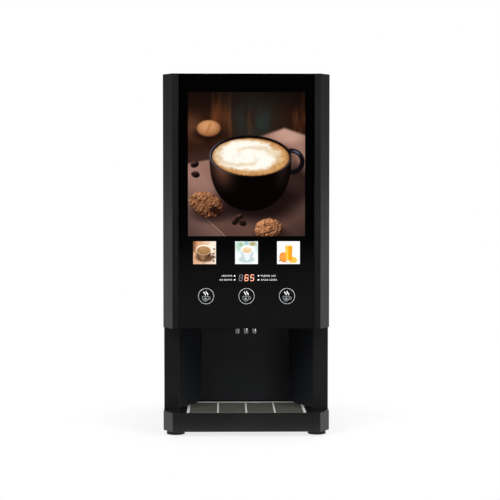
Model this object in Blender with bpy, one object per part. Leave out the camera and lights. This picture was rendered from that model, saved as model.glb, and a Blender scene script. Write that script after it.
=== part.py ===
"""Counter-top hot coffee vending machine with three drinks.

Metres, +Z up. The origin is on the surface the machine stands on, under its middle, and the front faces -Y.
Three like sets of drink gear stand side by side, one in each lane: a powder canister with its auger, a
mixing bowl with its whipper, and a nozzle.
"""

import math

import bmesh
import bpy
from mathutils import Matrix, Vector

# Overall size
WIDTH = 0.300
DEPTH = 0.400
HEIGHT = 0.650
SIDE = WIDTH / 2
FRONT = -DEPTH / 2
BACK = DEPTH / 2

# Clearances and walls
FIT = 0.0003  # between two pieces that touch
PLAY = 0.0005  # round a piece that slides or turns
SHEET = 0.0015  # bent steel sheet
MOULDING = 0.003  # outer plastic mouldings
LINER = 0.0025  # inner plastic mouldings
CANISTER_WALL = 0.002

# Heights of the storeys
FOOT_HEIGHT = 0.008
BASE_HEIGHT = 0.035
CUP_STATION_HEIGHT = 0.151  # top of the base to the top of the cup station's ceiling
SHELF_RISE = 0.191  # ceiling to the underside of the canister shelf
CANISTER_HEADROOM = 0.050  # above the canisters, for lifting their lids
BASE_TOP = FOOT_HEIGHT + BASE_HEIGHT
CEILING_TOP = BASE_TOP + CUP_STATION_HEIGHT
DOOR_BOTTOM = CEILING_TOP + PLAY
SHELF_BOTTOM = CEILING_TOP + SHELF_RISE
SHELF_TOP = SHELF_BOTTOM + SHEET
CANISTER_TOP = HEIGHT - CANISTER_HEADROOM

# Door and base in plan
DOOR_DEPTH = 0.050
DOOR_GAP = 0.001
CHAMFER_WIDTH = 0.0175
DOOR_CHAMFER_DEPTH = 0.031
BASE_CHAMFER_DEPTH = 0.028
STRIP_WIDTH = 0.0107  # front face of the door frame, beside the panel
PANEL_THICKNESS = 0.003
PANEL_RECESS = 0.0006
PANEL_LEDGE = 0.010
DOOR_BACK = FRONT + DOOR_DEPTH
CABINET_FRONT = DOOR_BACK + DOOR_GAP
PANEL_OPENING = SIDE - CHAMFER_WIDTH - STRIP_WIDTH
PANEL_HALF = PANEL_OPENING - FIT
PANEL_FRONT = FRONT + PANEL_RECESS
PANEL_BACK = PANEL_FRONT + PANEL_THICKNESS
LEDGE_FRONT = PANEL_BACK + FIT
CAVITY_FRONT = LEDGE_FRONT + MOULDING

# Cabinet shell
SIDE_INSET = 0.0007  # side panels stand this far inside the door and the base
PILLAR_WIDTH = 0.0263  # front flange beside the cup station
TOP_FLANGE = 0.0113  # front flange behind the door
TOP_BEND = 0.006  # outer radius of its bend, which the open door's edge swings past
COVER_FLANGE = 0.018
COVER_REAR_LIP = 0.010
REAR_FLANGE = 0.012
REAR_RECESS = 0.012
SHELL_HALF = SIDE - SIDE_INSET
INSIDE_HALF = SHELL_HALF - SHEET
REAR_OUT = BACK - REAR_RECESS
REAR_IN = REAR_OUT - SHEET

# Cup station
NICHE_DEPTH = 0.108
NICHE_TAPER = 0.041
LINER_TAB = 0.016  # behind each pillar
NICHE_HALF = SHELL_HALF - PILLAR_WIDTH
NICHE_BACK_HALF = NICHE_HALF - NICHE_TAPER
NICHE_BACK = CABINET_FRONT + NICHE_DEPTH

# Drip tray and grate
TRAY_BAY_INSET = 0.0307  # base side to the tray's bay
TRAY_FLOOR = 0.002
TRAY_RIM = 0.0112  # flat rim beside the grate
TRAY_BACK_RIM = 0.008
GRATE_HEIGHT = 0.0048
GRATE_LEDGE = 0.0033
GRATE_END_BAR = 0.0045
GRATE_BAR = 0.0024
GRATE_DIVIDER = 0.0036
GRATE_SLAT = 0.0030
GRATE_SLATS = 7
BAY_HALF = SIDE - TRAY_BAY_INSET
TRAY_HALF = BAY_HALF - FIT
BAY_BACK = NICHE_BACK - 0.0017
TRAY_BACK = BAY_BACK - PLAY
FLOOR_TOP = FOOT_HEIGHT + MOULDING
TRAY_BOTTOM = FLOOR_TOP + FIT
TRAY_TOP = BASE_TOP - FIT

# Feet
FOOT_RADIUS = 0.0165
FOOT_EDGE = 0.0015
FOOT_STUD = 0.003
FOOT_INSET_X = 0.022
FOOT_INSET_Y = 0.035

# Lanes
LANE_GAP = 0.006
LANE_MARGIN = 0.0098
LANE_NAMES = ("left", "centre", "right")
CANISTER_WIDTH = (2 * INSIDE_HALF - 2 * LANE_MARGIN - 2 * LANE_GAP) / 3
LANE_PITCH = CANISTER_WIDTH + LANE_GAP
LANES = [(name, (number - 1) * LANE_PITCH) for number, name in enumerate(LANE_NAMES)]

# Inner chassis, canisters and augers
MIXER_PLATE = CABINET_FRONT + 0.094
REAR_BAY = 0.1415
MOTOR_PLATE = REAR_IN - REAR_BAY
MOTOR_PLATE_HEIGHT = 0.065
AUGER_RADIUS = 0.014
AUGER_CORE = 0.0035
AUGER_SHAFT = 0.004
AUGER_PITCH = 0.025
AUGER_PLAY = 0.0015
CANISTER_SHOULDER = 0.042  # auger axis to where the canister's sides start to close in
CANISTER_FRONT = CABINET_FRONT + 0.007
CANISTER_BACK = MOTOR_PLATE - 0.015
TROUGH = AUGER_RADIUS + AUGER_PLAY
AUGER_Z = SHELF_TOP + FIT + CANISTER_WALL + TROUGH
MOTOR_BOSS = 0.009
CHASSIS_FOOT = 0.012
CHASSIS_TAB = 0.018
FLIGHT_THICKNESS = 0.0022
GEARBOX_DEPTH = 0.023
GEARBOX_HALF_WIDTH = 0.020
GEARBOX_BELOW = 0.016  # auger axis to the gearbox's underside
GEARBOX_ABOVE = 0.030
MOTOR_CAN_RISE = 0.010  # auger axis to the motor's
MOTOR_CAN_RADIUS = 0.013
MOTOR_CAN_LENGTH = 0.030
BEARING_CAP = 0.005
LID_SKIRT = 0.008
LID_THICKNESS = 0.002
LID_GRIP_HEIGHT = 0.008
LID_GRIP_HALF_WIDTH = 0.004
LID_GRIP_HALF_LENGTH = 0.035
SPOUT_RADIUS = 0.009
SPOUT_DROP = 0.009

# Mixing bowls, whippers and valves
BOWL_RADIUS = 0.034
BOWL_WALL = 0.002
BOWL_CONE = 0.031
BOWL_TO_SHELF = 0.020
WHIPPER_RADIUS = 0.011
WHIPPER_PLAY = 0.003
WHIPPER_SHAFT = 0.003
WHIPPER_RISE = 0.096  # ceiling to the whipper's axis
WHIPPER_MOTOR_RADIUS = 0.015
WHIPPER_MOTOR_LENGTH = 0.040
WHIPPER_MOTOR_CAP = 0.006
WHIPPER_HUB = 0.004
SHAFT_HOLE = WHIPPER_SHAFT + 0.003  # in the mixer plate, round a whipper's shaft
SHAFT_LUG = WHIPPER_SHAFT + 0.006  # half of the boss on a bowl's rear
VALVE_BLOCK_DEPTH = 0.016
VALVE_BLOCK_HALF_HEIGHT = 0.008
VALVE_COIL_RADIUS = 0.0085
VALVE_COIL_HEIGHT = 0.030
OUTLET_RADIUS = 0.0055
OUTLET_BORE = 0.0035
OUTLET_LENGTH = 0.012
SPIGOT_RADIUS = 0.003
BOWL_Y = CABINET_FRONT + 0.039
WHIPPER_Z = CEILING_TOP + WHIPPER_RISE
CHAMBER = WHIPPER_RADIUS + WHIPPER_PLAY
BOWL_TOP = SHELF_BOTTOM - BOWL_TO_SHELF
SPIGOT_DROP = 0.020  # bowl rim to the water spigot
SPIGOT_Z = BOWL_TOP - SPIGOT_DROP
OUTLET_Z = WHIPPER_Z - CHAMBER - BOWL_WALL - OUTLET_LENGTH

# Nozzles
NOZZLE_RADIUS = 0.00475
NOZZLE_BORE = 0.0034
NOZZLE_PITCH = 0.0157
NOZZLE_DROP = 0.0165  # below the ceiling's underside
NOZZLE_REACH = 0.012  # up into the nozzle block
NOZZLE_TIP_TAPER = 0.0006
NOZZLE_Y = CABINET_FRONT + 0.024
BLOCK_HEIGHT = 0.0275
BLOCK_HALF_WIDTH = NOZZLE_PITCH + NOZZLE_RADIUS + 0.006
BLOCK_HALF_DEPTH = NOZZLE_RADIUS + 0.007
HOSE_RADIUS = 0.005
HOSE_STUB = 0.003  # straight length at each end
HOSE_SWEEP = 0.14  # how far the outer hoses level out between their two bends

# Door hinge, held by two plates on the left side panel
HINGE_INSET = 0.0055  # from the door's side and back faces to the axis
HINGE_PIN = 0.003
HINGE_PIN_LENGTH = 0.010
HINGE_PLATE = 0.002
HINGE_DROP = 0.0042  # top of the machine to the upper plate's underside
HINGE_BOSS_HEIGHT = 0.020
HINGE_BOSS_REACH = 0.0105
HINGE_PLATE_REACH = 0.024  # back from the cabinet's front
HINGE_POCKET_REACH = 0.0093  # forward from the axis
HINGE_X = -SIDE + HINGE_INSET
HINGE_Y = DOOR_BACK - HINGE_INSET

# Front of the door, from the top down
POSTER_TOP_MARGIN = 0.0329
POSTER_SIDE_MARGIN = 0.0171
POSTER_TO_PICTURES = 0.0094
PICTURE_SIZE = 0.0407
PICTURE_PITCH = 0.075
PICTURES_TO_DISPLAY = 0.0246  # lower edge of the pictures to the display's middle
DISPLAY_TO_BUTTONS = 0.0329
BUTTONS_TO_DOOR_BOTTOM = 0.0584
BUTTON_RADIUS = 0.013
BUTTON_PITCH = 0.0724
BUTTON_RING = 0.0015
BUTTON_TRAVEL = 0.0015
BUTTON_FLANGE = 0.0015
BUTTON_RECESS = 0.0004
BUTTON_EDGE = 0.0005
BUTTON_STEM = 0.004
BUTTON_STEM_LENGTH = 0.0015
DISPLAY_BOARD_GAP = 0.0066  # behind the panel
BOARD_THICKNESS = 0.0016
DIGITS_HALF_WIDTH = 0.017
DIGITS_HALF_HEIGHT = 0.0085
LAMP_X = 0.021
LAMP_RISE = 0.0036
LAMP_RADIUS = 0.0017
POST_RADIUS = 0.003
POST_INSET = 0.005
LIGHT_BOX_DEPTH = 0.018
LIGHT_BOX_WALL = 0.002
POSTER_TOP = HEIGHT - POSTER_TOP_MARGIN
POSTER_HALF = PANEL_HALF - POSTER_SIDE_MARGIN
BUTTON_Z = DOOR_BOTTOM + BUTTONS_TO_DOOR_BOTTOM
DISPLAY_Z = BUTTON_Z + DISPLAY_TO_BUTTONS
PICTURE_BOTTOM = DISPLAY_Z + PICTURES_TO_DISPLAY
PICTURE_TOP = PICTURE_BOTTOM + PICTURE_SIZE
POSTER_BOTTOM = PICTURE_TOP + POSTER_TO_PICTURES

# Cam lock in the right side panel, and its keeper on the door
LOCK_Y = CABINET_FRONT + 0.019
LOCK_Z = DOOR_BOTTOM + 0.2105
LOCK_BARREL = 0.008
LOCK_PLUG = 0.006
LOCK_ROSETTE = 0.011
LOCK_DEPTH = 0.0135
CAM_LENGTH = 0.016
CAM_HALF_WIDTH = 0.003
CAM_THICKNESS = 0.0025
KEEPER_WIDTH = 0.006
KEEPER_SHEET = 0.002
KEEPER_LAP = 0.007  # the lip's lower end above the lock's axis
KEYWAY_DEPTH = 0.003

# Gear on the rear panel and the base floor
FAN_SIZE = 0.060
FAN_DEPTH = 0.015
FAN_HUB = 0.012
FAN_BLADES = 5
FAN_STRUT = 0.0015  # half of a strut's width
FAN_STRUT_DEPTH = 0.002
FAN_RUNNING_GAP = 0.0015
FAN_BLADE_THICKNESS = 0.0016
FAN_BLADE_CHORD = 0.012
FAN_BLADE_PITCH = math.radians(50)
VENT_PITCH = 0.010
VENT_HALF_HEIGHT = 0.0025
VENT_MARGIN = 0.004
FAN_X = -0.080
FAN_Z = CANISTER_TOP - 0.040
INLET_X = -0.095
INLET_Z = BASE_TOP + 0.057
INLET_HALF_WIDTH = 0.014
INLET_HALF_HEIGHT = 0.029
ROCKER_HALF_WIDTH = 0.0072
ROCKER_HALF_HEIGHT = 0.009
ROCKER_TILT = math.radians(8)
INLET_DEPTH = 0.022
INLET_LIP = 0.002
SOCKET_HALF_WIDTH = 0.0115
SOCKET_HEIGHT = 0.020
SOCKET_MARGIN = 0.004
ROCKER_DROP = 0.0145  # housing's top to the rocker's axis
ROCKER_PLAY = 0.0015
ROCKER_SINK = 0.006  # lip to the rocker's axis
WATER_X = 0.095
WATER_Z = BASE_TOP + 0.047
WATER_THREAD = 0.010
WATER_NECK = 0.008
WATER_BORE = 0.005
WATER_FLANGE = 0.003
BOILER_RADIUS = 0.042
BOILER_HEIGHT = 0.225
BOILER_SKIRT = 0.012  # how far the waist above the foot ring stands in
BOILER_X = 0.070
BOILER_Y = REAR_IN - 0.0915
PUMP_X = -0.075
PUMP_Y = REAR_IN - 0.1215
PUMP_FOOT = (0.028, 0.030, 0.003)  # half width, half depth and thickness
PUMP_BODY = (0.018, 0.023, 0.042)  # half width, half depth and top
PUMP_HEAD_RADIUS = 0.014
PUMP_HEAD_TOP = 0.066
PUMP_OUTLET_RADIUS = 0.004
PUMP_OUTLET_TOP = 0.080
BOARD_STANDOFF = 0.0095
BOARD_REAR_GAP = 0.016
BOARD_DEPTH = 0.0605
BOARD_DROP = 0.090  # below the shelf
BOARD_RISE = 0.060
BOARD_POST_INSET = 0.006
BOARD_UNITS = (  # (front, rear), (bottom, top) and height of each unit on the board
    ((0.008, 0.032), (0.015, 0.050), 0.024),
    ((0.008, 0.030), (0.062, 0.096), 0.018),
    ((0.036, 0.052), (0.020, 0.110), 0.012),
    ((0.010, 0.050), (0.118, 0.136), 0.015),
)

# Finishes: sRGB colour, roughness, metallic
FINISHES = {
    "black_paint": ((0.13, 0.13, 0.13), 0.45, 0.0),
    "black_moulding": ((0.15, 0.16, 0.16), 0.40, 0.0),
    "black_acrylic": ((0.04, 0.04, 0.04), 0.08, 0.0),
    "dark_liner": ((0.10, 0.10, 0.11), 0.50, 0.0),
    "rubber": ((0.05, 0.05, 0.05), 0.80, 0.0),
    "chrome": ((0.85, 0.85, 0.86), 0.12, 1.0),
    "steel": ((0.68, 0.69, 0.70), 0.35, 1.0),
    "brass": ((0.80, 0.65, 0.35), 0.30, 1.0),
    "clear_plastic": ((0.80, 0.82, 0.84), 0.25, 0.0),
    "white_plastic": ((0.88, 0.88, 0.86), 0.45, 0.0),
    "blue_silicone": ((0.55, 0.70, 0.80), 0.50, 0.0),
    "green_board": ((0.05, 0.30, 0.16), 0.50, 0.0),
}


# ---- Shaping helpers ----------------------------------------------------------------------------


def clear_scene():
    for obj in list(bpy.data.objects):
        bpy.data.objects.remove(obj, do_unlink=True)


def linear(channel):
    return channel / 12.92 if channel <= 0.04045 else ((channel + 0.055) / 1.055) ** 2.4


def finish_material(name, finish):
    colour, roughness, metallic = FINISHES[finish]
    material = bpy.data.materials.new(f"{name}_{finish}")
    material.use_nodes = True
    shader = material.node_tree.nodes["Principled BSDF"]
    shader.inputs["Base Color"].default_value = (*map(linear, colour), 1.0)
    shader.inputs["Roughness"].default_value = roughness
    shader.inputs["Metallic"].default_value = metallic
    material.diffuse_color = shader.inputs["Base Color"].default_value
    return material


def solid(bm):
    """A linked object from a bmesh, with its faces turned outwards."""
    bmesh.ops.recalc_face_normals(bm, faces=bm.faces)
    mesh = bpy.data.meshes.new("solid")
    bm.to_mesh(mesh)
    bm.free()
    obj = bpy.data.objects.new("solid", mesh)
    bpy.context.scene.collection.objects.link(obj)
    return obj


def place(axis, across, up, along):
    """World point of a section point (across, up) that lies at a distance along the axis."""
    return {"X": (along, across, up), "Y": (across, along, up), "Z": (across, up, along)}[axis]


def prism(outline, axis, low, high):
    """A section's outline carried along an axis. The section is (y, z), (x, z) or (x, y) for X, Y or Z."""
    bm = bmesh.new()
    near = [bm.verts.new(place(axis, a, b, low)) for a, b in outline]
    far = [bm.verts.new(place(axis, a, b, high)) for a, b in outline]
    bm.faces.new(near)
    bm.faces.new(reversed(far))
    for i, _ in enumerate(outline):
        bm.faces.new((near[i - 1], near[i], far[i], far[i - 1]))
    return solid(bm)


def block(x, y, z):
    """A box between two values on each axis."""
    corners = [(x[0], y[0]), (x[1], y[0]), (x[1], y[1]), (x[0], y[1])]
    return prism(corners, "Z", z[0], z[1])


def span(middle, half):
    """The two ends of a stretch about its middle."""
    return (middle - half, middle + half)


def on_side(side, first, second):
    """Two distances from the machine's middle as X values on one side, the lower one first."""
    return sorted((side * first, side * second))


def arc(centre, radius, start, end, steps):
    """Points of a round stretch, angles in degrees."""
    points = []
    for step in range(steps + 1):
        angle = math.radians(start + (end - start) * step / steps)
        points.append((centre[0] + radius * math.cos(angle), centre[1] + radius * math.sin(angle)))
    return points


def turned(profile, axis, centre, steps=16, ring=False):
    """A profile of (radius, distance along the axis) turned about the axis through the centre.

    A ring's profile is a closed loop that stays off the axis. Any other starts and ends on it.
    """
    bm = bmesh.new()
    rounds = []
    for radius, along in profile:
        angles = [2 * math.pi * step / steps for step in range(steps if radius > 0 else 1)]
        rounds.append(
            [
                bm.verts.new(
                    place(axis, centre[0] + radius * math.cos(a), centre[1] + radius * math.sin(a), along)
                )
                for a in angles
            ]
        )
    pairs = list(zip(rounds, rounds[1:] + rounds[:1]))
    for first, second in pairs if ring else pairs[:-1]:
        for step in range(steps):
            corners = [
                first[step % len(first)],
                first[(step + 1) % len(first)],
                second[(step + 1) % len(second)],
                second[step % len(second)],
            ]
            unique = list(dict.fromkeys(corners))
            if len(unique) > 2:
                bm.faces.new(unique)
    return solid(bm)


def rod(radius, axis, centre, low, high, steps=16):
    return turned([(0, low), (radius, low), (radius, high), (0, high)], axis, centre, steps)


def combine(body, operation, tools, solver="EXACT"):
    """Applies each tool to the body with a Boolean and removes the tool."""
    for tool in tools:
        modifier = body.modifiers.new(operation.lower(), "BOOLEAN")
        modifier.operation = operation
        modifier.object = tool
        modifier.solver = solver
    bpy.context.view_layer.update()
    evaluated = body.evaluated_get(bpy.context.evaluated_depsgraph_get())
    shaped = bpy.data.meshes.new_from_object(evaluated)
    body.modifiers.clear()
    body.data = shaped
    for tool in tools:
        bpy.data.objects.remove(tool, do_unlink=True)
    return body


def join(body, *tools, solver="EXACT"):
    return combine(body, "UNION", tools, solver)


def cut(body, *tools, solver="EXACT"):
    return combine(body, "DIFFERENCE", tools, solver)


def finish(body, name, look):
    body.name = name
    body.data.name = name
    body.data.materials.clear()
    body.data.materials.append(finish_material(name, look))
    body.data.shade_smooth()
    body.data.set_sharp_from_angle(angle=math.radians(35))
    return body


def pivot(name, point, *bodies):
    """Hangs moving pieces on an empty that stands on their joint's axis."""
    axis_point = Vector(point)
    empty = bpy.data.objects.new(name, None)
    empty.location = axis_point
    bpy.context.scene.collection.objects.link(empty)
    for body in bodies:
        body.data.transform(Matrix.Translation(-axis_point))
        body.parent = empty


def right_corner(chamfer_depth, wall=0.0, front_wall=0.0):
    """The two plan points of the right-hand front chamfer, moved inwards by the walls."""
    length = math.hypot(CHAMFER_WIDTH, chamfer_depth)
    start_x = SIDE - CHAMFER_WIDTH - wall * chamfer_depth / length
    start_y = FRONT + wall * CHAMFER_WIDTH / length
    slope = CHAMFER_WIDTH / chamfer_depth
    front_y = FRONT + front_wall
    side_x = SIDE - wall
    front_point = (start_x + (front_y - start_y) * slope, front_y)
    side_point = (side_x, start_y + (side_x - start_x) / slope)
    return [front_point, side_point]


def mirrored(points):
    """The same points on the left, in reverse, to close a symmetric outline."""
    return [(-x, y) for x, y in reversed(points)]


# ---- Base, feet and drip tray -------------------------------------------------------------------


def make_base():
    right = right_corner(BASE_CHAMFER_DEPTH) + [(SIDE, BACK)]
    base = prism(right + mirrored(right), "Z", FOOT_HEIGHT, BASE_TOP)
    above = BASE_TOP + MOULDING
    below = FOOT_HEIGHT - MOULDING
    tray_bay = block(span(0, BAY_HALF), (FRONT - MOULDING, BAY_BACK), (FLOOR_TOP, above))
    fascia_slot = block(span(0, BAY_HALF), (FRONT - MOULDING, FRONT + MOULDING + PLAY), (below, above))
    rear_bay_y = (NICHE_BACK + MOULDING, BACK - MOULDING)
    rear_bay = block(span(0, INSIDE_HALF), rear_bay_y, (FLOOR_TOP, above))
    cut(base, tray_bay, fascia_slot, rear_bay)
    for side in (-1, 1):
        foot_block_back = FRONT + FOOT_INSET_Y + FOOT_RADIUS + MOULDING
        hollow_x = on_side(side, BAY_HALF + MOULDING, SIDE - MOULDING)
        cut(base, block(hollow_x, (foot_block_back, BAY_BACK), (below, BASE_TOP - MOULDING)))
        for y in (FRONT + FOOT_INSET_Y, BACK - FOOT_INSET_Y):
            centre = (side * (SIDE - FOOT_INSET_X), y)
            cut(base, rod(FOOT_STUD + FIT, "Z", centre, below, FOOT_HEIGHT + 2 * FOOT_STUD, 12))
    finish(base, "base_frame", "black_moulding")


def make_feet():
    top = FOOT_HEIGHT - FIT
    stud_top = FOOT_HEIGHT + FOOT_STUD - PLAY
    profile = [
        (0, 0),
        (FOOT_RADIUS - FOOT_EDGE, 0),
        (FOOT_RADIUS, FOOT_EDGE),
        (FOOT_RADIUS, top - FOOT_EDGE),
        (FOOT_RADIUS - FOOT_EDGE, top),
        (FOOT_STUD, top),
        (FOOT_STUD, stud_top),
        (0, stud_top),
    ]
    for side_name, x in (("left", FOOT_INSET_X - SIDE), ("right", SIDE - FOOT_INSET_X)):
        for end_name, y in (("front", FRONT + FOOT_INSET_Y), ("rear", BACK - FOOT_INSET_Y)):
            finish(turned(profile, "Z", (x, y)), f"foot_{end_name}_{side_name}", "rubber")


def make_drip_tray():
    grate_half = TRAY_HALF - TRAY_RIM
    grate_front = FRONT + MOULDING
    grate_back = TRAY_BACK - TRAY_BACK_RIM
    seat_bottom = TRAY_TOP - GRATE_HEIGHT - FIT
    well_half = grate_half - GRATE_LEDGE
    body = block(span(0, TRAY_HALF), (FRONT + MOULDING, TRAY_BACK), (TRAY_BOTTOM, TRAY_TOP))
    fascia = block(span(0, TRAY_HALF), (FRONT, FRONT + MOULDING), (FOOT_HEIGHT + PLAY, TRAY_TOP))
    join(body, fascia)
    above = TRAY_TOP + MOULDING
    seat = block(span(0, grate_half), (grate_front, grate_back), (seat_bottom, above))
    well_y = (grate_front + GRATE_LEDGE, grate_back - GRATE_LEDGE)
    well = block(span(0, well_half), well_y, (TRAY_BOTTOM + TRAY_FLOOR, above))
    cut(body, seat, well)
    for side in (-1, 1):
        hollow_x = on_side(side, well_half + LINER, TRAY_HALF - LINER)
        hollow_top = seat_bottom - LINER
        cut(body, block(hollow_x, (grate_front + LINER, TRAY_BACK - LINER), (0, hollow_top)))
    finish(body, "drip_tray", "black_moulding")
    grate = make_grate(grate_half - FIT, grate_front + FIT, grate_back - FIT, seat_bottom + FIT)
    pivot("drip_tray_slide", (0, FRONT, TRAY_BOTTOM), body, grate)


def make_grate(half, front, back, bottom):
    """A frame with three dividers and slats that run from side to side."""
    height = (bottom, bottom + GRATE_HEIGHT - FIT)
    grate = block(span(0, half), (front, back), height)
    through = (bottom - MOULDING, bottom + MOULDING + GRATE_HEIGHT)
    first = front + GRATE_BAR
    gap = (back - front - 2 * GRATE_BAR - GRATE_SLATS * GRATE_SLAT) / (GRATE_SLATS + 1)
    inner = half - GRATE_END_BAR
    bay = inner / 2
    cells = []
    for column in range(4):
        left = -inner + column * bay + (GRATE_DIVIDER / 2 if column > 0 else 0)
        right = -inner + (column + 1) * bay - (GRATE_DIVIDER / 2 if column < 3 else 0)
        for row in range(GRATE_SLATS + 1):
            start = first + row * (gap + GRATE_SLAT)
            cells.append(block((left, right), (start, start + gap), through))
    return finish(cut(grate, *cells), "drip_grate", "chrome")


# ---- Cabinet shell ------------------------------------------------------------------------------


def side_panel(side):
    """Sheet side with a wide front flange beside the cup station and a narrow one behind the door."""
    bottom = BASE_TOP + FIT
    top = HEIGHT - SHEET - FIT
    seam = (CEILING_TOP + FIT / 2, CEILING_TOP + FIT)
    lower = block(on_side(side, SHELL_HALF, INSIDE_HALF), (CABINET_FRONT, BACK), (bottom, seam[1]))
    pillar_y = (CABINET_FRONT, CABINET_FRONT + SHEET)
    pillar_x = on_side(side, NICHE_HALF, INSIDE_HALF + SHEET / 2)
    pillar = block(pillar_x, pillar_y, (bottom, seam[1]))
    bend = (SHELL_HALF - TOP_BEND, CABINET_FRONT + TOP_BEND)
    outline = [(SHELL_HALF, BACK)] + arc(bend, TOP_BEND, 360, 270, 4)
    outline += [(SHELL_HALF - TOP_FLANGE, CABINET_FRONT), (SHELL_HALF - TOP_FLANGE, CABINET_FRONT + SHEET)]
    outline += arc(bend, TOP_BEND - SHEET, 270, 360, 4) + [(INSIDE_HALF, BACK)]
    upper = prism([(side * x, y) for x, y in outline], "Z", seam[0], top)
    return join(lower, pillar, upper)


def hinge_plate(bottom, pin_bottom):
    """A tongue off the side panel that carries one hinge pin."""
    reach = HINGE_INSET - PLAY
    left = -SHELL_HALF + FIT
    outline = arc((HINGE_X, HINGE_Y), reach, 180, 360, 10)
    outline[0] = (left, HINGE_Y)
    back = CABINET_FRONT + HINGE_PLATE_REACH
    outline += [(HINGE_X + reach, back), (left, back)]
    plate = prism(outline, "Z", bottom, bottom + HINGE_PLATE)
    pin = rod(HINGE_PIN, "Z", (HINGE_X, HINGE_Y), pin_bottom, pin_bottom + HINGE_PIN_LENGTH)
    return join(plate, pin)


def make_side_panels():
    left = side_panel(-1)
    lower_plate = DOOR_BOTTOM + PLAY
    upper_plate = HEIGHT - HINGE_DROP
    lower = hinge_plate(lower_plate, lower_plate + HINGE_PLATE / 2)
    upper = hinge_plate(upper_plate, upper_plate + HINGE_PLATE / 2 - HINGE_PIN_LENGTH)
    finish(join(left, lower, upper), "left_side_panel", "black_paint")
    right = side_panel(1)
    lock_hole = rod(LOCK_BARREL + FIT, "X", (LOCK_Y, LOCK_Z), INSIDE_HALF - MOULDING, SIDE, 24)
    finish(cut(right, lock_hole), "right_side_panel", "black_paint")


def make_top_cover():
    cover = block(span(0, SIDE), (CABINET_FRONT, BACK), (HEIGHT - SHEET, HEIGHT))
    flange_out = INSIDE_HALF - FIT
    overlap = HEIGHT - SHEET / 2
    flange_y = (CABINET_FRONT + 0.030, REAR_IN - 0.004)
    for side in (-1, 1):
        flange_x = on_side(side, flange_out, flange_out - SHEET)
        join(cover, block(flange_x, flange_y, (HEIGHT - COVER_FLANGE, overlap)))
    rear_lip = block(span(0, flange_out), (BACK - SHEET, BACK), (HEIGHT - COVER_REAR_LIP, overlap))
    finish(join(cover, rear_lip), "top_cover", "black_paint")


def make_rear_panel():
    half = INSIDE_HALF - FIT
    bottom = FLOOR_TOP + FIT
    top = HEIGHT - SHEET - FIT
    panel = block(span(0, half), (REAR_IN, REAR_OUT), (bottom, top))
    flange_y = (REAR_IN - REAR_FLANGE, REAR_IN + SHEET / 2)
    for side in (-1, 1):
        join(panel, block(on_side(side, half, half - SHEET), flange_y, (bottom, HEIGHT - 0.020)))
    through = (REAR_IN - MOULDING, REAR_OUT + MOULDING)
    openings = []
    for row in range(-2, 3):
        rise = row * VENT_PITCH
        half_length = math.sqrt((FAN_SIZE / 2) ** 2 - rise**2) - VENT_MARGIN
        openings.append(block(span(FAN_X, half_length), through, span(FAN_Z + rise, VENT_HALF_HEIGHT)))
    inlet_x = span(INLET_X, INLET_HALF_WIDTH + FIT)
    inlet_z = span(INLET_Z, INLET_HALF_HEIGHT + FIT)
    openings.append(block(inlet_x, through, inlet_z))
    openings.append(rod(WATER_NECK + FIT, "Y", (WATER_X, WATER_Z), *through))
    finish(cut(panel, *openings), "rear_panel", "black_paint")


# ---- Cup station, nozzles and hoses -------------------------------------------------------------


def make_cup_station():
    front = CABINET_FRONT + SHEET + FIT
    lean = NICHE_TAPER / NICHE_DEPTH
    wall = LINER * math.hypot(1, lean)  # measured along X, so that the slanting wall is LINER thick
    front_half = NICHE_HALF - lean * (front - CABINET_FRONT)
    inner = [(front_half, front), (NICHE_BACK_HALF, NICHE_BACK)]
    outer = [(NICHE_BACK_HALF + wall, NICHE_BACK + LINER), (front_half + wall, front + LINER)]
    tab_end = NICHE_HALF + LINER_TAB
    tab = [(tab_end, front + LINER), (tab_end, front)]
    ceiling_bottom = CEILING_TOP - LINER
    right = outer + tab + inner
    walls = prism(right + mirrored(right), "Z", BASE_TOP + FIT, ceiling_bottom + LINER / 2)
    ceiling_y = (front, NICHE_BACK + LINER)
    join(walls, block(span(0, INSIDE_HALF - FIT), ceiling_y, (ceiling_bottom, CEILING_TOP)))
    holes = []
    for number in (-1, 0, 1):
        centre = (number * NOZZLE_PITCH, NOZZLE_Y)
        holes.append(rod(NOZZLE_RADIUS + FIT, "Z", centre, ceiling_bottom - LINER, CEILING_TOP + LINER))
    finish(cut(walls, *holes), "cup_station_liner", "dark_liner")


def make_nozzles():
    body_z = (CEILING_TOP + FIT, CEILING_TOP + BLOCK_HEIGHT)
    body = block(span(0, BLOCK_HALF_WIDTH), span(NOZZLE_Y, BLOCK_HALF_DEPTH), body_z)
    tip = CEILING_TOP - LINER - NOZZLE_DROP
    top = CEILING_TOP + NOZZLE_REACH
    profile = [
        (NOZZLE_BORE, tip),
        (NOZZLE_RADIUS - NOZZLE_TIP_TAPER, tip),
        (NOZZLE_RADIUS, tip + 0.001),
        (NOZZLE_RADIUS, top - FIT),
        (NOZZLE_BORE, top - FIT),
    ]
    bores = []
    for number, name in enumerate(LANE_NAMES):
        centre = ((number - 1) * NOZZLE_PITCH, NOZZLE_Y)
        bores.append(rod(NOZZLE_RADIUS + FIT, "Z", centre, CEILING_TOP - FIT, top))
        finish(turned(profile, "Z", centre, ring=True), f"nozzle_{name}", "chrome")
    finish(cut(body, *bores), "nozzle_block", "white_plastic")


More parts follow.
